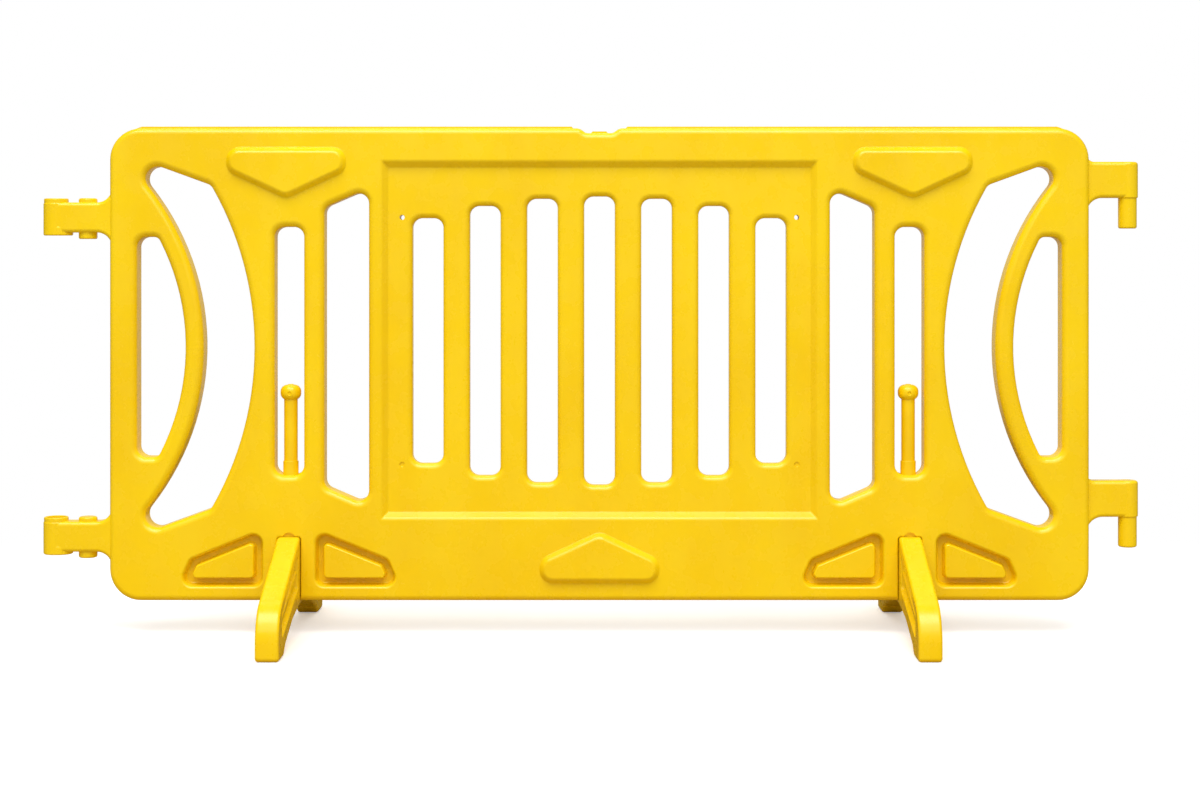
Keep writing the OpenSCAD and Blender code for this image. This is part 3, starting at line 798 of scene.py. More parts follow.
@dataclass
class Panel:
    """The moulded panel. Sizes are in millimetres, drawn from the panel's middle and the ground."""

    bottom: float = 69.0
    height: float = 939.5
    half_t: float = 30.0
    corner_r: float = 62.0
    edge_r: float = 12.0
    edge_steps: int = 8
    rim_r: float = 13.5
    notch_w: float = 80.0
    notch_floor_w: float = 54.0
    notch_depth: float = 9.5
    notch_mouth_r: float = 18.0
    notch_floor_r: float = 14.0
    bead_w: float = 30.0
    bead_h: float = 3.5
    bead_gap: float = 104.0
    bead_stop: float = 34.0
    bead_run_out: float = 22.5
    bead_sink: float = 0.35
    field_w: float = 864.0
    field_h: float = 708.6
    field_z: float = 585.0
    field_rise: float = 2.7
    field_depth: float = 12.0
    field_slope: float = 11.0
    field_lip: float = 10.0
    field_lip_turn: float = 45.0
    field_lip_steps: int = 6
    field_foot: Point = (0.6, 1.0)
    field_corner_r: float = 3.0
    slot_count: int = 7
    slot_w: float = 61.0
    slot_h: float = 576.0
    slot_pitch: float = 114.0
    slot_arc_r: float = 1370.0
    slot_corner_r: float = 19.0
    slot_rim_r: float = 11.5
    sign_hole_d: float = 10.0
    sign_hole_x: float = 393.0
    sign_hole_rise: float = 246.0
    drill_mark: float = 2.0
    hole_rim_r: float = 0.8
    mark_foot: Steps = ((0.0, -0.8), (0.6, 0.0))
    mark_lip: Steps = ((-PROUD, 0.6), (-OVER, 0.6))
    opening_z: float = 573.0
    side_slot_x: float = 459.0
    side_slot_w: float = 88.0
    side_slot_inner_h: float = 632.0
    side_slot_outer_h: float = 556.0
    post_slot_w: float = 58.0
    post_slot_floor: float = 318.0
    post_slot_h: float = 494.0
    bow_x: float = 687.0
    handle_x: float = 787.0
    bow_inner_r: float = 643.0
    bow_outer_r: float = 518.0
    bow_tip_rise: float = 335.0
    bow_tip_r: float = 24.0
    bow_slope: float = 20.0
    grip_x: float = 824.0
    grip_edge_x: float = 920.0
    grip_h: float = 438.0
    grip_r: float = 465.0
    grip_tip_r: float = 14.0
    opening_corner_r: float = 20.0
    boss_w: float = 237.0
    boss_h: float = 102.0
    boss_end_h: float = 47.0
    boss_rise: float = 12.0
    boss_corner_r: float = 26.0
    boss_tip_r: float = 30.0
    boss_top: float = 970.0
    boss_bottom: float = 105.0
    boss_shift: float = 5.0
    boss_clearance: float = 1.5
    boss_slope: float = 14.0
    boss_foot: float = 1.5
    boss_ease: float = 0.7
    boss_steps: int = 12
    relief_offset: float = 53.0
    relief_w: float = 166.5
    relief_inner_h: float = 111.5
    relief_outer_h: float = 53.5
    relief_lean: float = 23.0
    relief_z: float = 98.0
    relief_corner_r: float = 18.0
    island_corner_r: float = 7.0
    groove_w: float = 17.0
    groove_depth: float = 22.0
    groove_foot: Steps = ((0.0, -6.0), (0.6, -4.2), (2.2, -2.6))
    groove_lip: Steps = ((4.5, 0.0), (2.6, 0.8), (1.0, 2.4), (0.25, 4.0), (-PROUD, 5.4), (-OVER, 5.4))
    island_foot: Steps = ((-OVER, 4.5), (0.0, 4.5), (0.6, 3.4), (2.2, 2.4))
    island_lip: Steps = ((4.0, 1.0), (1.6, 0.2), (0.5, -1.0), (-PROUD, -2.6), (-2 * OVER, -2.6))
    foot_notch_w: float = 47.0
    foot_notch_top: float = 196.3
    foot_notch_r: float = 6.0
    foot_notch_rim_r: float = 3.5
    arch_relief_w: float = 25.0
    arch_relief_h: float = 9.0
    arch_relief_depth: float = 5.0
    arch_relief_draft: float = 1.0
    post_bore_d: float = 31.3

    def plate(self) -> Piece:
        """The plate with rounded edges and the notch in its top edge.

        Returns:
            The plate.
        """
        low, top = self.bottom, self.bottom + self.height
        mouth, edge, floor = self.notch_w / 2, self.notch_floor_w / 2, top - self.notch_depth
        points = [(-END_X, low), (END_X, low), (END_X, top), (mouth, top), (edge, floor), (-edge, floor),
                  (-mouth, top), (-END_X, top)]
        r, upper, lower = self.corner_r, self.notch_mouth_r, self.notch_floor_r
        outline = rounded(points, [r, r, r, upper, lower, lower, upper, r])
        profile = edge_profile(self.half_t, self.edge_r, self.edge_steps)
        return Bench.loft("panel_moulding", View.FRONT, outline, profile)

    def beads(self) -> list[Piece]:
        """Stretches of the bead on the top edge and in its notch.

        Returns:
            The stretches.
        """
        top, stop, turn = self.bottom + self.height, self.bead_stop / 2, math.radians(self.bead_run_out)
        run = (self.corner_r * math.sin(turn), self.corner_r * (math.cos(turn) - 1) - self.bead_sink)
        right = self.bead("bead_right", self.bead_gap / 2, END_X - self.corner_r, top, run)
        pair, floor = Bench.both([right], Mirror.ACROSS), top - self.notch_depth
        return pair + [self.bead("bead_stop", -stop, stop - self.bead_h, floor, (self.bead_h, 0.0))]

    def bead(self, name: str, x0: float, x1: float, z: float, run: Point) -> Piece:
        """One stretch of the bead.

        Args:
            name: Name of the new object.
            x0: Its sloped end.
            x1: Where its other end starts to run out.
            z: Height of the edge that it lies on.
            run: Where it has run out, from x1 and z.

        Returns:
            The stretch.
        """
        rise, half = self.bead_h, self.bead_w / 2
        points = [(x0, z - OVER), (x1, z - OVER), (x1 + run[0], z + run[1]), (x1, z + rise),
                  (x0 + rise, z + rise), (x0, z)]
        outline = [Arc(p) for p in points]
        return Bench.skin(name, View.FRONT, [(-half, outline), (half, outline)])

    def boss_outline(self, x: float, z: float, way: float) -> Outline:
        """Arrow-shaped boss.

        Args:
            x: Middle of its straight edge.
            z: Height of its straight edge.
            way: 1 where the arrow points down, -1 where it points up.

        Returns:
            The outline.
        """
        w, r = self.boss_w / 2, self.boss_corner_r
        points = [(-w, 0.0), (-w, -self.boss_end_h), (0.0, -self.boss_h), (w, -self.boss_end_h), (w, 0.0)]
        points = [(x + px * way, z + pz * way) for px, pz in points]
        return rounded(points, [r, r, self.boss_tip_r, r, r])

    def bosses(self) -> tuple[list[Piece], list[Piece]]:
        """Raised bosses at the front, and the hollows behind them.

        Returns:
            The bosses, and the cutters of their hollows.
        """
        face, foot, slack = self.half_t, self.boss_foot, self.boss_clearance
        turns = [i / self.boss_steps for i in range(1, self.boss_steps + 1)]
        rises = [((1 - math.cos(math.pi * t ** self.boss_ease)) / 2, foot - self.boss_slope * t)
                 for t in turns]
        profile = [(face - OVER, foot), (face - PROUD, foot)]
        profile += [(face + self.boss_rise * d, g) for d, g in rises]
        hollow = [(-face - OVER, foot + slack), (-face - PROUD, foot + slack)]
        hollow += [((self.boss_rise + slack) * d - face, g + slack) for d, g in rises]
        raised, hollows, side = [], [], FOOT_X + self.boss_shift
        for x, z, way in ((side, self.boss_top, 1), (-side, self.boss_top, 1), (0.0, self.boss_bottom, -1)):
            outline = self.boss_outline(x, z, way)
            raised.append(Bench.loft("boss", View.FRONT, outline, profile))
            hollows.append(Bench.loft("boss_hollow", View.FRONT, outline, hollow))
        return raised, hollows

    def side_slot(self) -> Outline:
        """Slanted slot beside the sign field.

        Returns:
            The outline at the right end.
        """
        near, far, z = self.side_slot_x, self.side_slot_x + self.side_slot_w, self.opening_z
        inner, outer = self.side_slot_inner_h / 2, self.side_slot_outer_h / 2
        points = [(near, z - inner), (far, z - outer), (far, z + outer), (near, z + inner)]
        return rounded(points, [self.opening_corner_r] * 4)

    def bow(self) -> Outline:
        """Bow-shaped opening on the inner side of the carrying handle.

        Returns:
            The outline at the right end.
        """
        z, r, tip_r = self.opening_z, self.opening_corner_r, self.bow_tip_r
        outer = self.handle_x + self.bow_outer_r
        inner = self.bow_x + self.bow_inner_r
        reach = self.bow_outer_r + tip_r
        tip_a = math.degrees(math.asin(self.bow_tip_rise / reach))
        tip = (outer - reach * math.cos(math.radians(tip_a)), self.bow_tip_rise)
        top_a = 90.0 + self.bow_slope
        n = (math.cos(math.radians(top_a)), math.sin(math.radians(top_a)))
        inside = self.bow_inner_r - r
        along = n[0] * (tip[0] - inner) + n[1] * tip[1] + tip_r - r
        far_a = top_a + math.degrees(math.acos(along / inside))
        far = (inner + inside * math.cos(math.radians(far_a)), inside * math.sin(math.radians(far_a)))
        return [
            Arc((tip[0], z - tip[1]), tip_r, -top_a, tip_a),
            Arc((outer, z), self.bow_outer_r, 180.0 + tip_a, 180.0 - tip_a),
            Arc((tip[0], z + tip[1]), tip_r, -tip_a, top_a),
            Arc((far[0], z + far[1]), r, top_a, far_a),
            Arc((inner, z), self.bow_inner_r, far_a, 360.0 - far_a),
            Arc((far[0], z - far[1]), r, 360.0 - far_a, 360.0 - top_a),
        ]

    def grip(self) -> Outline:
        """Hand opening between the carrying handle and the end post.

        Returns:
            The outline at the right end.
        """
        z, r, half, edge = self.opening_z, self.opening_corner_r, self.grip_h / 2, self.grip_edge_x
        centre = self.grip_x + self.grip_r
        rise, inside = half - self.grip_tip_r, self.grip_r - self.grip_tip_r
        tip_a = math.degrees(math.asin(rise / inside))
        tip = centre - inside * math.cos(math.radians(tip_a))
        return [
            Arc((edge - r, z + r - half), r, -90.0, 0.0),
            Arc((edge - r, z + half - r), r, 0.0, 90.0),
            Arc((tip, z + rise), self.grip_tip_r, 90.0, 180.0 - tip_a),
            Arc((centre, z), self.grip_r, 180.0 - tip_a, 180.0 + tip_a),
            Arc((tip, z - rise), self.grip_tip_r, 180.0 + tip_a, 270.0),
        ]

    def end_openings(self) -> list[Piece]:
        """Cutters of the openings at both ends.

        Returns:
            The cutters.
        """
        post_z = self.post_slot_floor + self.post_slot_h / 2
        post = rounded_rect(self.post_slot_w, self.post_slot_h, self.opening_corner_r, FOOT_X, post_z)
        outlines = {"side_slot": self.side_slot(), "post_slot": post, "bow": self.bow(), "grip": self.grip()}
        profile = rim_profile(self.half_t, self.rim_r)
        cutters = [Bench.loft(name, View.FRONT, arcs, profile) for name, arcs in outlines.items()]
        return Bench.both(cutters, Mirror.ACROSS)

    def sign_fields(self) -> list[Piece]:
        """Cutters of the recessed sign field on both faces.

        Returns:
            The cutters.
        """
        face, floor, lip = self.half_t, self.half_t - self.field_depth, self.field_lip
        turn, (rise, run) = math.radians(self.field_lip_turn), self.field_foot
        edge = self.field_slope - self.field_depth + lip * (1 - math.cos(turn) - math.sin(turn))
        turns = [turn * (1 - i / self.field_lip_steps) for i in range(self.field_lip_steps)]
        steps = [(floor, self.field_slope + run), (floor + rise, self.field_slope)]
        steps += [(face - lip * (1 - math.cos(a)), edge + lip * math.sin(a)) for a in turns]
        steps += [(face + PROUD, edge), (face + OVER, edge)]
        w, h, r, z = self.field_w, self.field_h, self.field_corner_r, self.field_z + self.field_rise
        sections = [(depth, rounded_rect(w - 2 * by, h - 2 * by, r, 0.0, z)) for depth, by in steps]
        return Bench.both([Bench.skin("sign_field", View.FRONT, sections)], Mirror.THROUGH)

    def field_cuts(self) -> list[Piece]:
        """Cutters of the slots, fixing holes and drilling marks in the sign field.

        Returns:
            The cutters.
        """
        half, cutters = self.half_t - self.field_depth, []
        for i in range(self.slot_count // 2 + 1):
            x = i * self.slot_pitch
            h = self.slot_h - 2 * (self.slot_arc_r - math.sqrt(self.slot_arc_r ** 2 - x * x))
            outline = rounded_rect(self.slot_w, h, self.slot_corner_r, x, self.field_z)
            slot = [Bench.loft("sign_slot", View.FRONT, outline, rim_profile(half, self.slot_rim_r))]
            cutters += Bench.both(slot, Mirror.ACROSS) if i else slot
        x, r, rise = self.sign_hole_x, self.sign_hole_d / 2, self.sign_hole_rise
        upper, lower = circle(x, self.field_z + rise, r), circle(x, self.field_z - rise, r)
        hole = Bench.loft("sign_hole", View.FRONT, upper, rim_profile(half, self.hole_rim_r, steps=3))
        profile = wall_profile(half - self.drill_mark, half, self.mark_foot, self.mark_lip)
        marks = Bench.both([Bench.loft("drill_mark", View.FRONT, lower, profile)], Mirror.THROUGH)
        return cutters + Bench.both([hole, *marks], Mirror.ACROSS)

    def reliefs(self) -> list[Piece]:
        """Cutters of the grooved reliefs on both sides of the feet, at both faces.

        Returns:
            The cutters.
        """
        x0, x1, z = self.relief_offset, self.relief_offset + self.relief_w, self.relief_z
        face, floor = self.half_t, self.half_t - self.groove_depth
        points = [(x0, z), (x1, z), (x1 - self.relief_lean, z + self.relief_outer_h),
                  (x0, z + self.relief_inner_h)]
        outer = wall_profile(floor, face, self.groove_foot, self.groove_lip)
        inner = wall_profile(floor, face, self.island_foot, self.island_lip)
        groove = Bench.loft("relief", View.FRONT, rounded(points, [self.relief_corner_r] * 4), outer)
        island = rounded(inset(points, self.groove_w), [self.island_corner_r] * 4)
        Bench.combine(groove, [Bench.loft("island", View.FRONT, island, inner)], Change.CUT)
        cutters, shift = [], Vector((FOOT_X * MM, 0, 0))
        for piece in Bench.both(Bench.both([groove], Mirror.ACROSS), Mirror.THROUGH):
            cutters += [Bench.copy(piece, "relief_right", shift), Bench.copy(piece, "relief_left", -shift)]
            bpy.data.objects.remove(piece)
        return cutters

    def foot_notches(self) -> list[Piece]:
        """Cutters of the notches that hold the feet.

        Returns:
            The cutters.
        """
        low = self.bottom - self.foot_notch_r - OVER
        height = self.foot_notch_top - low
        outline = rounded_rect(self.foot_notch_w, height, self.foot_notch_r, FOOT_X, low + height / 2)
        profile = rim_profile(self.half_t, self.foot_notch_rim_r)
        return Bench.both([Bench.loft("foot_notch", View.FRONT, outline, profile)], Mirror.ACROSS)

    def post_bores(self) -> list[Piece]:
        """Cutters of the posts' bores, and of the arched recesses above the notches.

        Returns:
            The cutters.
        """
        w, h = self.arch_relief_w, self.arch_relief_h
        r = (w * w / 4 + h * h) / (2 * h)
        outline = circle(FOOT_X, self.foot_notch_top + h - r, r)
        profile = [(self.half_t - self.arch_relief_depth, -self.arch_relief_draft), (self.half_t + OVER, 0.0)]
        arches = Bench.both([Bench.loft("arch_relief", View.FRONT, outline, profile)], Mirror.THROUGH)
        low, high, bore = self.foot_notch_top - OVER, self.post_slot_floor + OVER, self.post_bore_d / 2
        path = [Arc(p) for p in ((0.0, low), (bore, low), (bore, high), (0.0, high))]
        return Bench.both([*arches, Bench.turned("post_bore", path, FOOT_X)], Mirror.ACROSS)

    def build(self) -> Piece:
        """Moulds the panel.

        Returns:
            The finished piece.
        """
        panel = self.plate()
        raised, hollows = self.bosses()
        Bench.combine(panel, raised + self.beads(), Change.ADD)
        Bench.combine(panel, self.end_openings() + self.sign_fields() + hollows, Change.CUT)
        Bench.combine(panel, self.reliefs() + self.foot_notches(), Change.CUT)
        Bench.combine(panel, self.field_cuts() + self.post_bores(), Change.CUT)
        Bench.finish(panel)
        return panel


class End(Enum):
    """End of the panel, by the word in the names of its pieces."""

    LEFT = "left"
    RIGHT = "right"


@dataclass
class LinkArms:
    """Knuckles at the left end and hooks at the right end, an upper and a lower one of each."""

    corner_r: float = 9.0
    edge_r: float = 8.0
    sunk: float = 23.0
    inset: float = 3.0
    spacing: float = 636.0
    knuckle_z: float = 801.0
    knuckle_reach: float = 112.0
    knuckle_h: float = 60.0
    knuckle_t: float = 47.6
    knuckle_d: float = 50.0
    knuckle_drop: float = 6.0
    knuckle_heel: float = 8.0
    barrel_proud: float = 0.2
    barrel_edges: Point = (3.0, 4.0)
    knuckle_flare_r: float = 30.0
    collar_d: float = 48.0
    collar_h: float = 8.0
    collar_edges: Point = (2.0, 2.5)
    bore_d: float = 38.4
    bore_chamfer: float = 1.2
    stub_reach: float = 48.5
    stub_d: float = 36.5
    stub_rise: float = 8.5
    stub_drop: float = 13.0
    stub_edges: Point = (3.5, 4.0)
    hook_z: float = 870.0
    hook_reach: float = 81.5
    hook_h: float = 72.0
    hook_t: float = 39.5
    hook_d: float = 41.0
    hook_edges: Point = (2.0, 6.0)
    hook_upper_r: float = 16.0
    hook_lower_r: float = 32.0
    pin_d: float = 36.6
    pin_l: float = 61.0
    pin_edges: Point = (4.0, 4.0)

    def arm(self, z: float, reach: float, h: float, t: float, lower_r: float, upper_r: float) -> Piece:
        """Arm towards +X that flares into the panel's end.

        Args:
            z: Height of its underside.
            reach: Length from the panel's end.
            h: Its height.
            t: Its thickness.
            lower_r: Radius of the flare under it.
            upper_r: Radius of the flare above it.

        Returns:
            The arm, with its root inside the panel.
        """
        root, wall, far, r = END_X - self.sunk, END_X - self.inset, END_X + reach, self.corner_r
        low, top = z - lower_r - r, z + h + upper_r + r
        points = [(root, low), (wall, low), (wall, z), (far, z),
                  (far, z + h), (wall, z + h), (wall, top), (root, top)]
        outline = rounded(points, [r, r, lower_r, r, r, upper_r, r, r])
        return Bench.loft("arm", View.FRONT, outline, edge_profile(t / 2, self.edge_r))

    @staticmethod
    def drum(name: str, x: float, ends: Point, d: float, edges: Point) -> Piece:
        """Upright turned piece with rounded edges.

        Args:
            name: Name of the new object.
            x: Place of its axis.
            ends: Its lowest and its highest height.
            d: Its diameter.
            edges: Radii of its lower and its upper edge.

        Returns:
            The piece.
        """
        (z0, z1), (low, high), r = ends, edges, d / 2
        path = [Arc((0.0, z0)), Arc((r - low, z0 + low), low, -90.0, 0.0),
                Arc((r - high, z1 - high), high, 0.0, 90.0), Arc((0.0, z1))]
        return Bench.turned(name, path, x)

    def knuckle(self) -> Piece:
        """Upper knuckle: arm, barrel with collar and bore, and stub.

        Returns:
            The knuckle at the left end.
        """
        z, roof, axis = self.knuckle_z, self.knuckle_z + self.knuckle_h, END_X + self.knuckle_reach
        foot, top, e, d = z - self.knuckle_drop, roof + self.collar_h, self.edge_r, self.knuckle_d
        flare, stub = self.knuckle_flare_r, (z - self.stub_drop, roof + self.stub_rise)
        knuckle = self.arm(z, self.knuckle_reach, self.knuckle_h, self.knuckle_t, flare, flare)
        for drum in (
            ("barrel", axis, (foot, roof + self.barrel_proud), d, self.barrel_edges),
            ("heel", axis - self.knuckle_heel, (foot + PROUD, z + 2 * e), d, (self.barrel_edges[0], e)),
            ("collar", axis, (z, top), self.collar_d, self.collar_edges),
            ("stub", END_X + self.stub_reach, stub, self.stub_d, self.stub_edges),
        ):
            Bench.combine(knuckle, [self.drum(*drum)], Change.ADD)
        r, c = self.bore_d / 2, self.bore_chamfer
        path = [Arc(p) for p in (
            (0.0, foot - OVER), (r + c, foot - OVER), (r + c, foot - PROUD), (r, foot + c),
            (r, top - c), (r + c, top + PROUD), (r + c, top + OVER), (0.0, top + OVER),
        )]
        Bench.combine(knuckle, [Bench.turned("bore", path, axis)], Change.CUT)
        twin = Bench.mirrored(knuckle, Mirror.ACROSS)
        bpy.data.objects.remove(knuckle)
        twin.name = twin.data.name = "upper_knuckle_eye"
        return twin

    def hook(self) -> Piece:
        """Upper hook: arm with a rounded end, and the pin under it.

        Returns:
            The hook at the right end.
        """
        z, h, axis = self.hook_z, self.hook_h, END_X + self.hook_reach
        hook = self.arm(z, self.hook_reach, h, self.hook_t, self.hook_lower_r, self.hook_upper_r)
        hook.name = hook.data.name = "upper_hook_pin"
        for drum in (
            ("hook_end", axis, (z, z + h), self.hook_d, self.hook_edges),
            ("pin", axis, (z - self.pin_l, z + h / 2), self.pin_d, self.pin_edges),
        ):
            Bench.combine(hook, [self.drum(*drum)], Change.ADD)
        return hook

    def build(self) -> dict[str, Piece]:
        """Moulds the four arms.

        Returns:
            The pieces by the name of the node that each stands for.
        """
        made = {}
        for word, upper in (("knuckle", self.knuckle()), ("hook", self.hook())):
            Bench.finish(upper)
            name = upper.name.replace("upper", "lower")
            lower = Bench.copy(upper, name, Vector((0, 0, -self.spacing * MM)))
            made["upper_" + word], made["lower_" + word] = upper, lower
        return made


@dataclass
class Foot:
    """Arched foot with a socket for its post and ribbed pockets in its sides."""

    length: float = 610.0
    thick: float = 45.0
    height: float = 196.0
    crown_l: float = 72.0
    crown_r: float = 30.0
    slope: float = 22.0
    bend_r: float = 78.0
    pad_l: float = 65.0
    pad_r: float = 9.0
    step_l: float = 24.0
    step_h: float = 17.0
    step_r: float = 12.0
    arch_h: float = 61.0
    arch_mid_h: float = 48.0
    arch_top_l: float = 60.0
    arch_r: float = 140.0
    edge_r: float = 6.0
    pocket_depth: float = 9.0
    pocket_hub: float = 56.0
    pocket_top: float = 22.0
    pocket_low: float = 36.0
    pocket_tip: float = 44.0
    pocket_r: float = 9.0
    pocket_foot: Steps = ((0.0, -5.5), (0.8, -3.6), (3.0, -2.2))
    pocket_lip: Steps = ((2.5, -0.6), (0.9, 0.0), (0.2, 0.9), (-PROUD, 2.0), (-OVER, 2.0))
    rib_w: float = 10.0
    rib_drop: float = 3.0
    rib_foot: Steps = ((-OVER, 1.5), (0.0, 1.5), (1.5, 1.1))
    rib_crest: Steps = ((1.5, 0.95), (0.4, 0.8), (0.0, 0.6))
    socket_d: float = 30.7
    socket_depth: float = 96.0
    socket_chamfer: float = 0.8
    pin_rim_r: float = 0.6

    def outline(self) -> Outline:
        """Side view of the foot.

        Returns:
            The outline.
        """
        tip, crown, arch = self.length / 2, self.crown_l / 2, self.arch_top_l / 2
        pad = tip - self.pad_l
        step = pad - self.step_l
        mid = (step + arch) / 2
        shoulder = self.height - (tip - crown) * math.tan(math.radians(self.slope))
        right = [(arch, self.arch_h), (mid, self.arch_mid_h), (step, self.step_h), (pad, 0.0), (tip, 0.0),
                 (tip, shoulder), (crown, self.height)]
        radii = [self.arch_r, self.arch_r, self.step_r, self.step_r, self.pad_r, self.bend_r, self.crown_r]
        left = [(-y, z) for y, z in reversed(right)]
        return rounded(right + left, radii + radii[::-1])

    def pockets(self) -> list[Piece]:
        """Cutters of the pockets, each with its rib left standing.

        Returns:
            The cutters.
        """
        tilt = math.tan(math.radians(self.slope))
        crown, hub, end = self.crown_l / 2, self.pocket_hub, self.length / 2 - self.pocket_tip
        top = self.height - self.pocket_top
        near_top, far_top = top - (hub - crown) * tilt, top - (end - crown) * tilt
        near_low, far_low = self.arch_h + self.pocket_low, self.pocket_low
        face = self.thick / 2
        floor = face - self.pocket_depth
        points = [(hub, near_low), (end, far_low), (end, far_top), (hub, near_top)]
        outline = rounded(points, [self.pocket_r] * 4)
        profile = wall_profile(floor, face, self.pocket_foot, self.pocket_lip)
        pocket = Bench.loft("pocket", View.SIDE, outline, profile)
        past = 4 * OVER
        a = Vector((hub - past, (near_top + near_low) / 2))
        b = Vector((end + past, (far_top + far_low) / 2))
        n = Vector((a.y - b.y, b.x - a.x)).normalized() * self.rib_w / 2
        rib = wall_profile(floor, face - self.rib_drop, self.rib_foot, self.rib_crest)
        sections = [(d, [Arc(tuple(p)) for p in (a - n * k, b - n * k, b + n * k, a + n * k)])
                    for d, k in rib]
        Bench.combine(pocket, [Bench.skin("rib", View.SIDE, sections)], Change.CUT)
        return Bench.both(Bench.both([pocket], Mirror.THROUGH), Mirror.ACROSS)

    def build(self) -> dict[str, Piece]:
        """Moulds both feet.

        Returns:
            The feet by the name of the node that each stands for.
        """
        half, top, low = self.thick / 2, self.height, self.height - self.socket_depth
        foot = Bench.loft("right_foot_moulding", View.SIDE, self.outline(), edge_profile(half, self.edge_r))
        Bench.combine(foot, self.pockets(), Change.CUT)
        r, c = self.socket_d / 2, self.socket_chamfer
        path = [Arc(p) for p in (
            (0.0, low), (r, low), (r, top - c), (r + c, top + PROUD), (r + c, top + OVER), (0.0, top + OVER),
        )]
        Bench.combine(foot, [Bench.turned("socket", path, 0.0)], Change.CUT)
        outline, profile = circle(0.0, FOOT_PIN_Z, FOOT_PIN_D / 2), rim_profile(half, self.pin_rim_r, steps=2)
        Bench.combine(foot, [Bench.loft("pin_hole", View.SIDE, outline, profile)], Change.CUT)
        return Bench.pair(foot, "foot")


@dataclass
class Post:
    """Stepped post that slides in the panel, and the knob that stops it."""

    bottom: float = 100.0
    shoulder: float = 345.0
    root_d: float = 30.5
    rod_d: float = 27.0
    spigot_d: float = 18.0
    spigot_l: float = 22.0
    edge_r: float = 1.0
    knob_z: float = 468.0
    knob_d: float = 41.0
    knob_h: float = 29.0
    knob_r: float = 13.5
    nub_d: float = 11.0
    nub_h: float = 1.2
    hole_z: float = 480.5
    hole_d: float = 5.2
    dish: Steps = ((2.0, 0.0), (0.5, 1.6), (-OVER, 1.6))
    slack: float = 0.1

    def posts(self) -> dict[str, Piece]:
        """Both posts by node.

        Returns:
            The posts by the name of the node that each stands for.
        """
        root, rod, spigot, e = self.root_d / 2, self.rod_d / 2, self.spigot_d / 2, self.edge_r
        top = self.knob_z + self.spigot_l
        path = [Arc((0.0, self.bottom)), Arc((root - e, self.bottom + e), e, -90.0, 0.0),
                Arc((root - e, self.shoulder - e), e, 0.0, 90.0), Arc((rod, self.shoulder)),
                Arc((rod, self.knob_z)), Arc((spigot, self.knob_z)),
                Arc((spigot - e, top - e), e, 0.0, 90.0), Arc((0.0, top))]
        post = Bench.turned("right_post_rod", path, 0.0)
        through = [(-root - OVER, 0.0), (root + OVER, 0.0)]
        across = Bench.loft("foot_pin_hole", View.SIDE, circle(0.0, FOOT_PIN_Z, FOOT_PIN_D / 2), through)
        along = Bench.loft("knob_pin_hole", View.FRONT, circle(0.0, self.hole_z, self.hole_d / 2), through)
        Bench.combine(post, [across, along], Change.CUT)
        return Bench.pair(post, "post")

    def knobs(self) -> dict[str, Piece]:
        """Both knobs by node.

        Returns:
            The knobs by the name of the node that each stands for.
        """
        r, z, top, bend = self.knob_d / 2, self.knob_z, self.knob_z + self.knob_h, self.knob_r
        hole, deep, e = self.spigot_d / 2 + self.slack, z + self.spigot_l + self.slack, self.edge_r
        rest = math.acos((self.rod_d / 2 - r + bend) / bend)
        nub, nub_top = self.nub_d / 2, top + self.nub_h
        path = [Arc((0.0, deep)), Arc((hole, deep)), Arc((hole, z)),
                Arc((r - bend, z + bend * math.sin(rest)), bend, -math.degrees(rest), 0.0),
                Arc((r - bend, top - bend), bend, 0.0, 90.0), Arc((nub, top)),
                Arc((nub - e, nub_top - e), e, 0.0, 90.0), Arc((0.0, nub_top))]
        knob = Bench.turned("right_knob_cap", path, 0.0)
        front = wall_profile(0.0, r, (), self.dish)
        profile = [(-d, g) for d, g in reversed(front)] + front
        across = Bench.loft("knob_pin_hole", View.FRONT, circle(0.0, self.hole_z, self.hole_d / 2), profile)
        Bench.combine(knob, [across], Change.CUT)
        return Bench.pair(knob, "knob")


@dataclass(frozen=True)
class Lamp:
    """Soft area light: its place, the point that it faces, its width and height, and its power."""

    name: str
    place: Place
    aim: Place
    size: Point
    watts: float

    def build(self) -> None:
        """Hangs the light where the camera doesn't see it."""
        Bench.clear()
        bpy.ops.object.light_add(type="AREA", location=self.place)
        lamp = bpy.context.object
        lamp.name = self.name
        lamp.rotation_euler = (Vector(self.aim) - Vector(self.place)).to_track_quat("-Z", "Y").to_euler()
        lamp.data.shape = "RECTANGLE"
        lamp.data.size, lamp.data.size_y = self.size
        lamp.data.energy = self.watts
        lamp.visible_camera = False


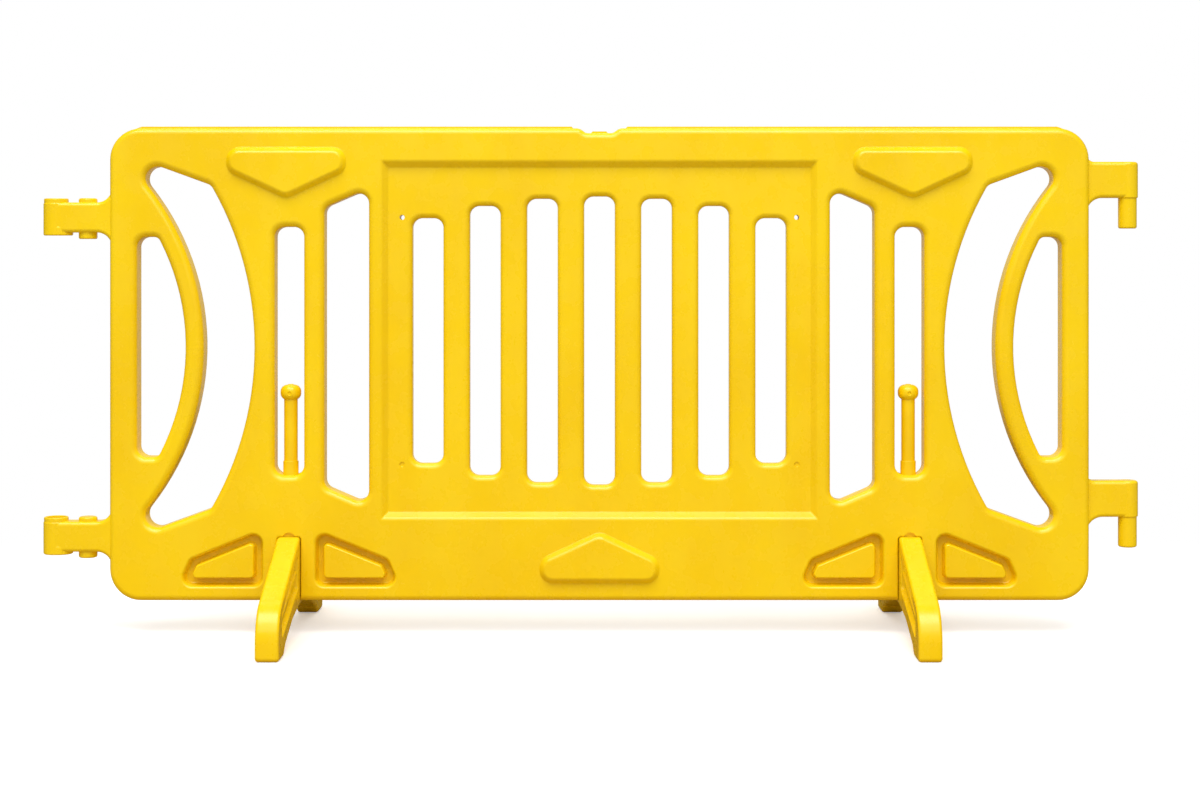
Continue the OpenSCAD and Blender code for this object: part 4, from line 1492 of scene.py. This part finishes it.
@dataclass
class Studio:
    """Pale floor, white surround, soft lights and the photograph's camera. Places are in metres."""

    eye: Place = (0.0407, -4.266, 0.780)
    lens: float = 64.0
    shift: Point = (-0.00925, -0.1308)
    ambient: float = 0.50
    mirrored: float = 0.05
    bounce: Colour = (0.55, 0.44, 0.23)
    glow: float = 0.32
    floor_size: float = 6.0
    floor_tone: float = 0.92
    floor_squeeze: Place = (1.0, 1.6, 1.0)
    floor_fade: Point = (1.5, 2.6)
    lamps: tuple[Lamp, ...] = (
        Lamp("key", (-0.6, -4.2, 7.9), (0.0, 0.0, 0.5), (8.0, 4.2), 610.0),
        Lamp("front", (0.5, -6.2, 4.6), (0.0, 0.0, 0.5), (6.4, 3.6), 130.0),
        Lamp("top", (-0.2, 1.7, 4.1), (0.0, 0.0, 0.6), (3.6, 1.6), 32.0),
        Lamp("card", (0.0, 3.2, 1.1), (0.0, 0.0, 1.1), (6.0, 2.4), 17.0),
    )

    def floor(self) -> None:
        """White floor that keeps a soft shadow and fades out around the part."""
        Bench.clear()
        bpy.ops.mesh.primitive_plane_add(size=self.floor_size, location=(0, 0, 0))
        floor = bpy.context.object
        floor.name = "studio_floor"
        material = bpy.data.materials.new("studio_floor")
        g = Graph(material)
        path = g.node("ShaderNodeLightPath").outputs
        colour = g.mix(path["Is Glossy Ray"], rgba(self.bounce), rgba((self.mirrored,) * 3))
        colour = g.mix(path["Is Camera Ray"], colour, rgba((self.floor_tone,) * 3))
        paint = g.node("ShaderNodeBsdfDiffuse", None, {"Color": colour})
        glow = g.mix(path["Is Camera Ray"], rgba((0, 0, 0)), rgba((self.glow,) * 3))
        shine = g.node("ShaderNodeEmission", None, {"Color": glow})
        pale = g.node("ShaderNodeAddShader", None, {0: paint.outputs[0], 1: shine.outputs[0]})
        clear = g.node("ShaderNodeBsdfTransparent")
        where = g.place(self.floor_squeeze)
        away = g.value("ShaderNodeVectorMath", {"operation": "LENGTH"}, {0: where}, "Value")
        fade = away.ramp(*self.floor_fade)
        shader = g.node("ShaderNodeMixShader", None, {0: fade, 1: pale.outputs[0], 2: clear.outputs[0]})
        g.node("ShaderNodeOutputMaterial", None, {"Surface": shader.outputs[0]})
        floor.data.materials.append(material)

    def surround(self) -> None:
        """World that is white to look at and dimmer as a light."""
        world = bpy.data.worlds.new("studio")
        bpy.context.scene.world = world
        g = Graph(world)
        path = g.node("ShaderNodeLightPath").outputs
        soft, dark, white = (
            g.node("ShaderNodeBackground", None, {"Color": rgba((1, 1, 1)), "Strength": strength}).outputs[0]
            for strength in (self.ambient, self.mirrored, 1.0)
        )
        lit = g.node("ShaderNodeMixShader", None, {0: path["Is Glossy Ray"], 1: soft, 2: dark}).outputs[0]
        seen = Value(g, path["Is Camera Ray"]) + Value(g, path["Is Transmission Ray"])
        mix = g.node("ShaderNodeMixShader", None, {0: seen.math("MINIMUM", 1.0), 1: lit, 2: white})
        g.node("ShaderNodeOutputWorld", None, {"Surface": mix.outputs[0]})

    def camera(self) -> None:
        """Level camera in the place that the photograph was taken from."""
        Bench.clear()
        bpy.ops.object.camera_add(location=self.eye, rotation=(math.pi / 2, 0, 0))
        camera = bpy.context.object
        camera.data.lens = self.lens
        camera.data.shift_x, camera.data.shift_y = self.shift
        bpy.context.scene.camera = camera

    def build(self) -> None:
        """Sets up the studio."""
        scene = bpy.context.scene
        scene.view_settings.view_transform = "Standard"
        self.floor()
        self.surround()
        for lamp in self.lamps:
            lamp.build()
        self.camera()


def main() -> None:
    """Builds the barrier's looks around its frame."""
    logging.basicConfig(level=logging.INFO, format="%(name)s: %(message)s")
    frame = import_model()
    wardrobe = Wardrobe()
    wardrobe.hand_over(Panel().build(), PANEL_PLASTIC, BODY, "panel")
    for node, piece in LinkArms().build().items():
        wardrobe.hand_over(piece, PANEL_PLASTIC, BODY, node)
    post = Post()
    legs = ((Foot().build(), PANEL_PLASTIC), (post.posts(), POST_PLASTIC), (post.knobs(), KNOB_PLASTIC))
    for pieces, finish in legs:
        for node, piece in pieces.items():
            wardrobe.hand_over(piece, finish, node.split("_")[0] + "_leg", node)
    for end in End:
        wardrobe.dress(frame["nodes"][end.value + "_knob_pin"], KNOB_PLASTIC)
        wardrobe.dress(frame["nodes"][end.value + "_foot_pin"], PIN_STEEL)
    Studio().build()


if __name__ == "__main__":
    main()
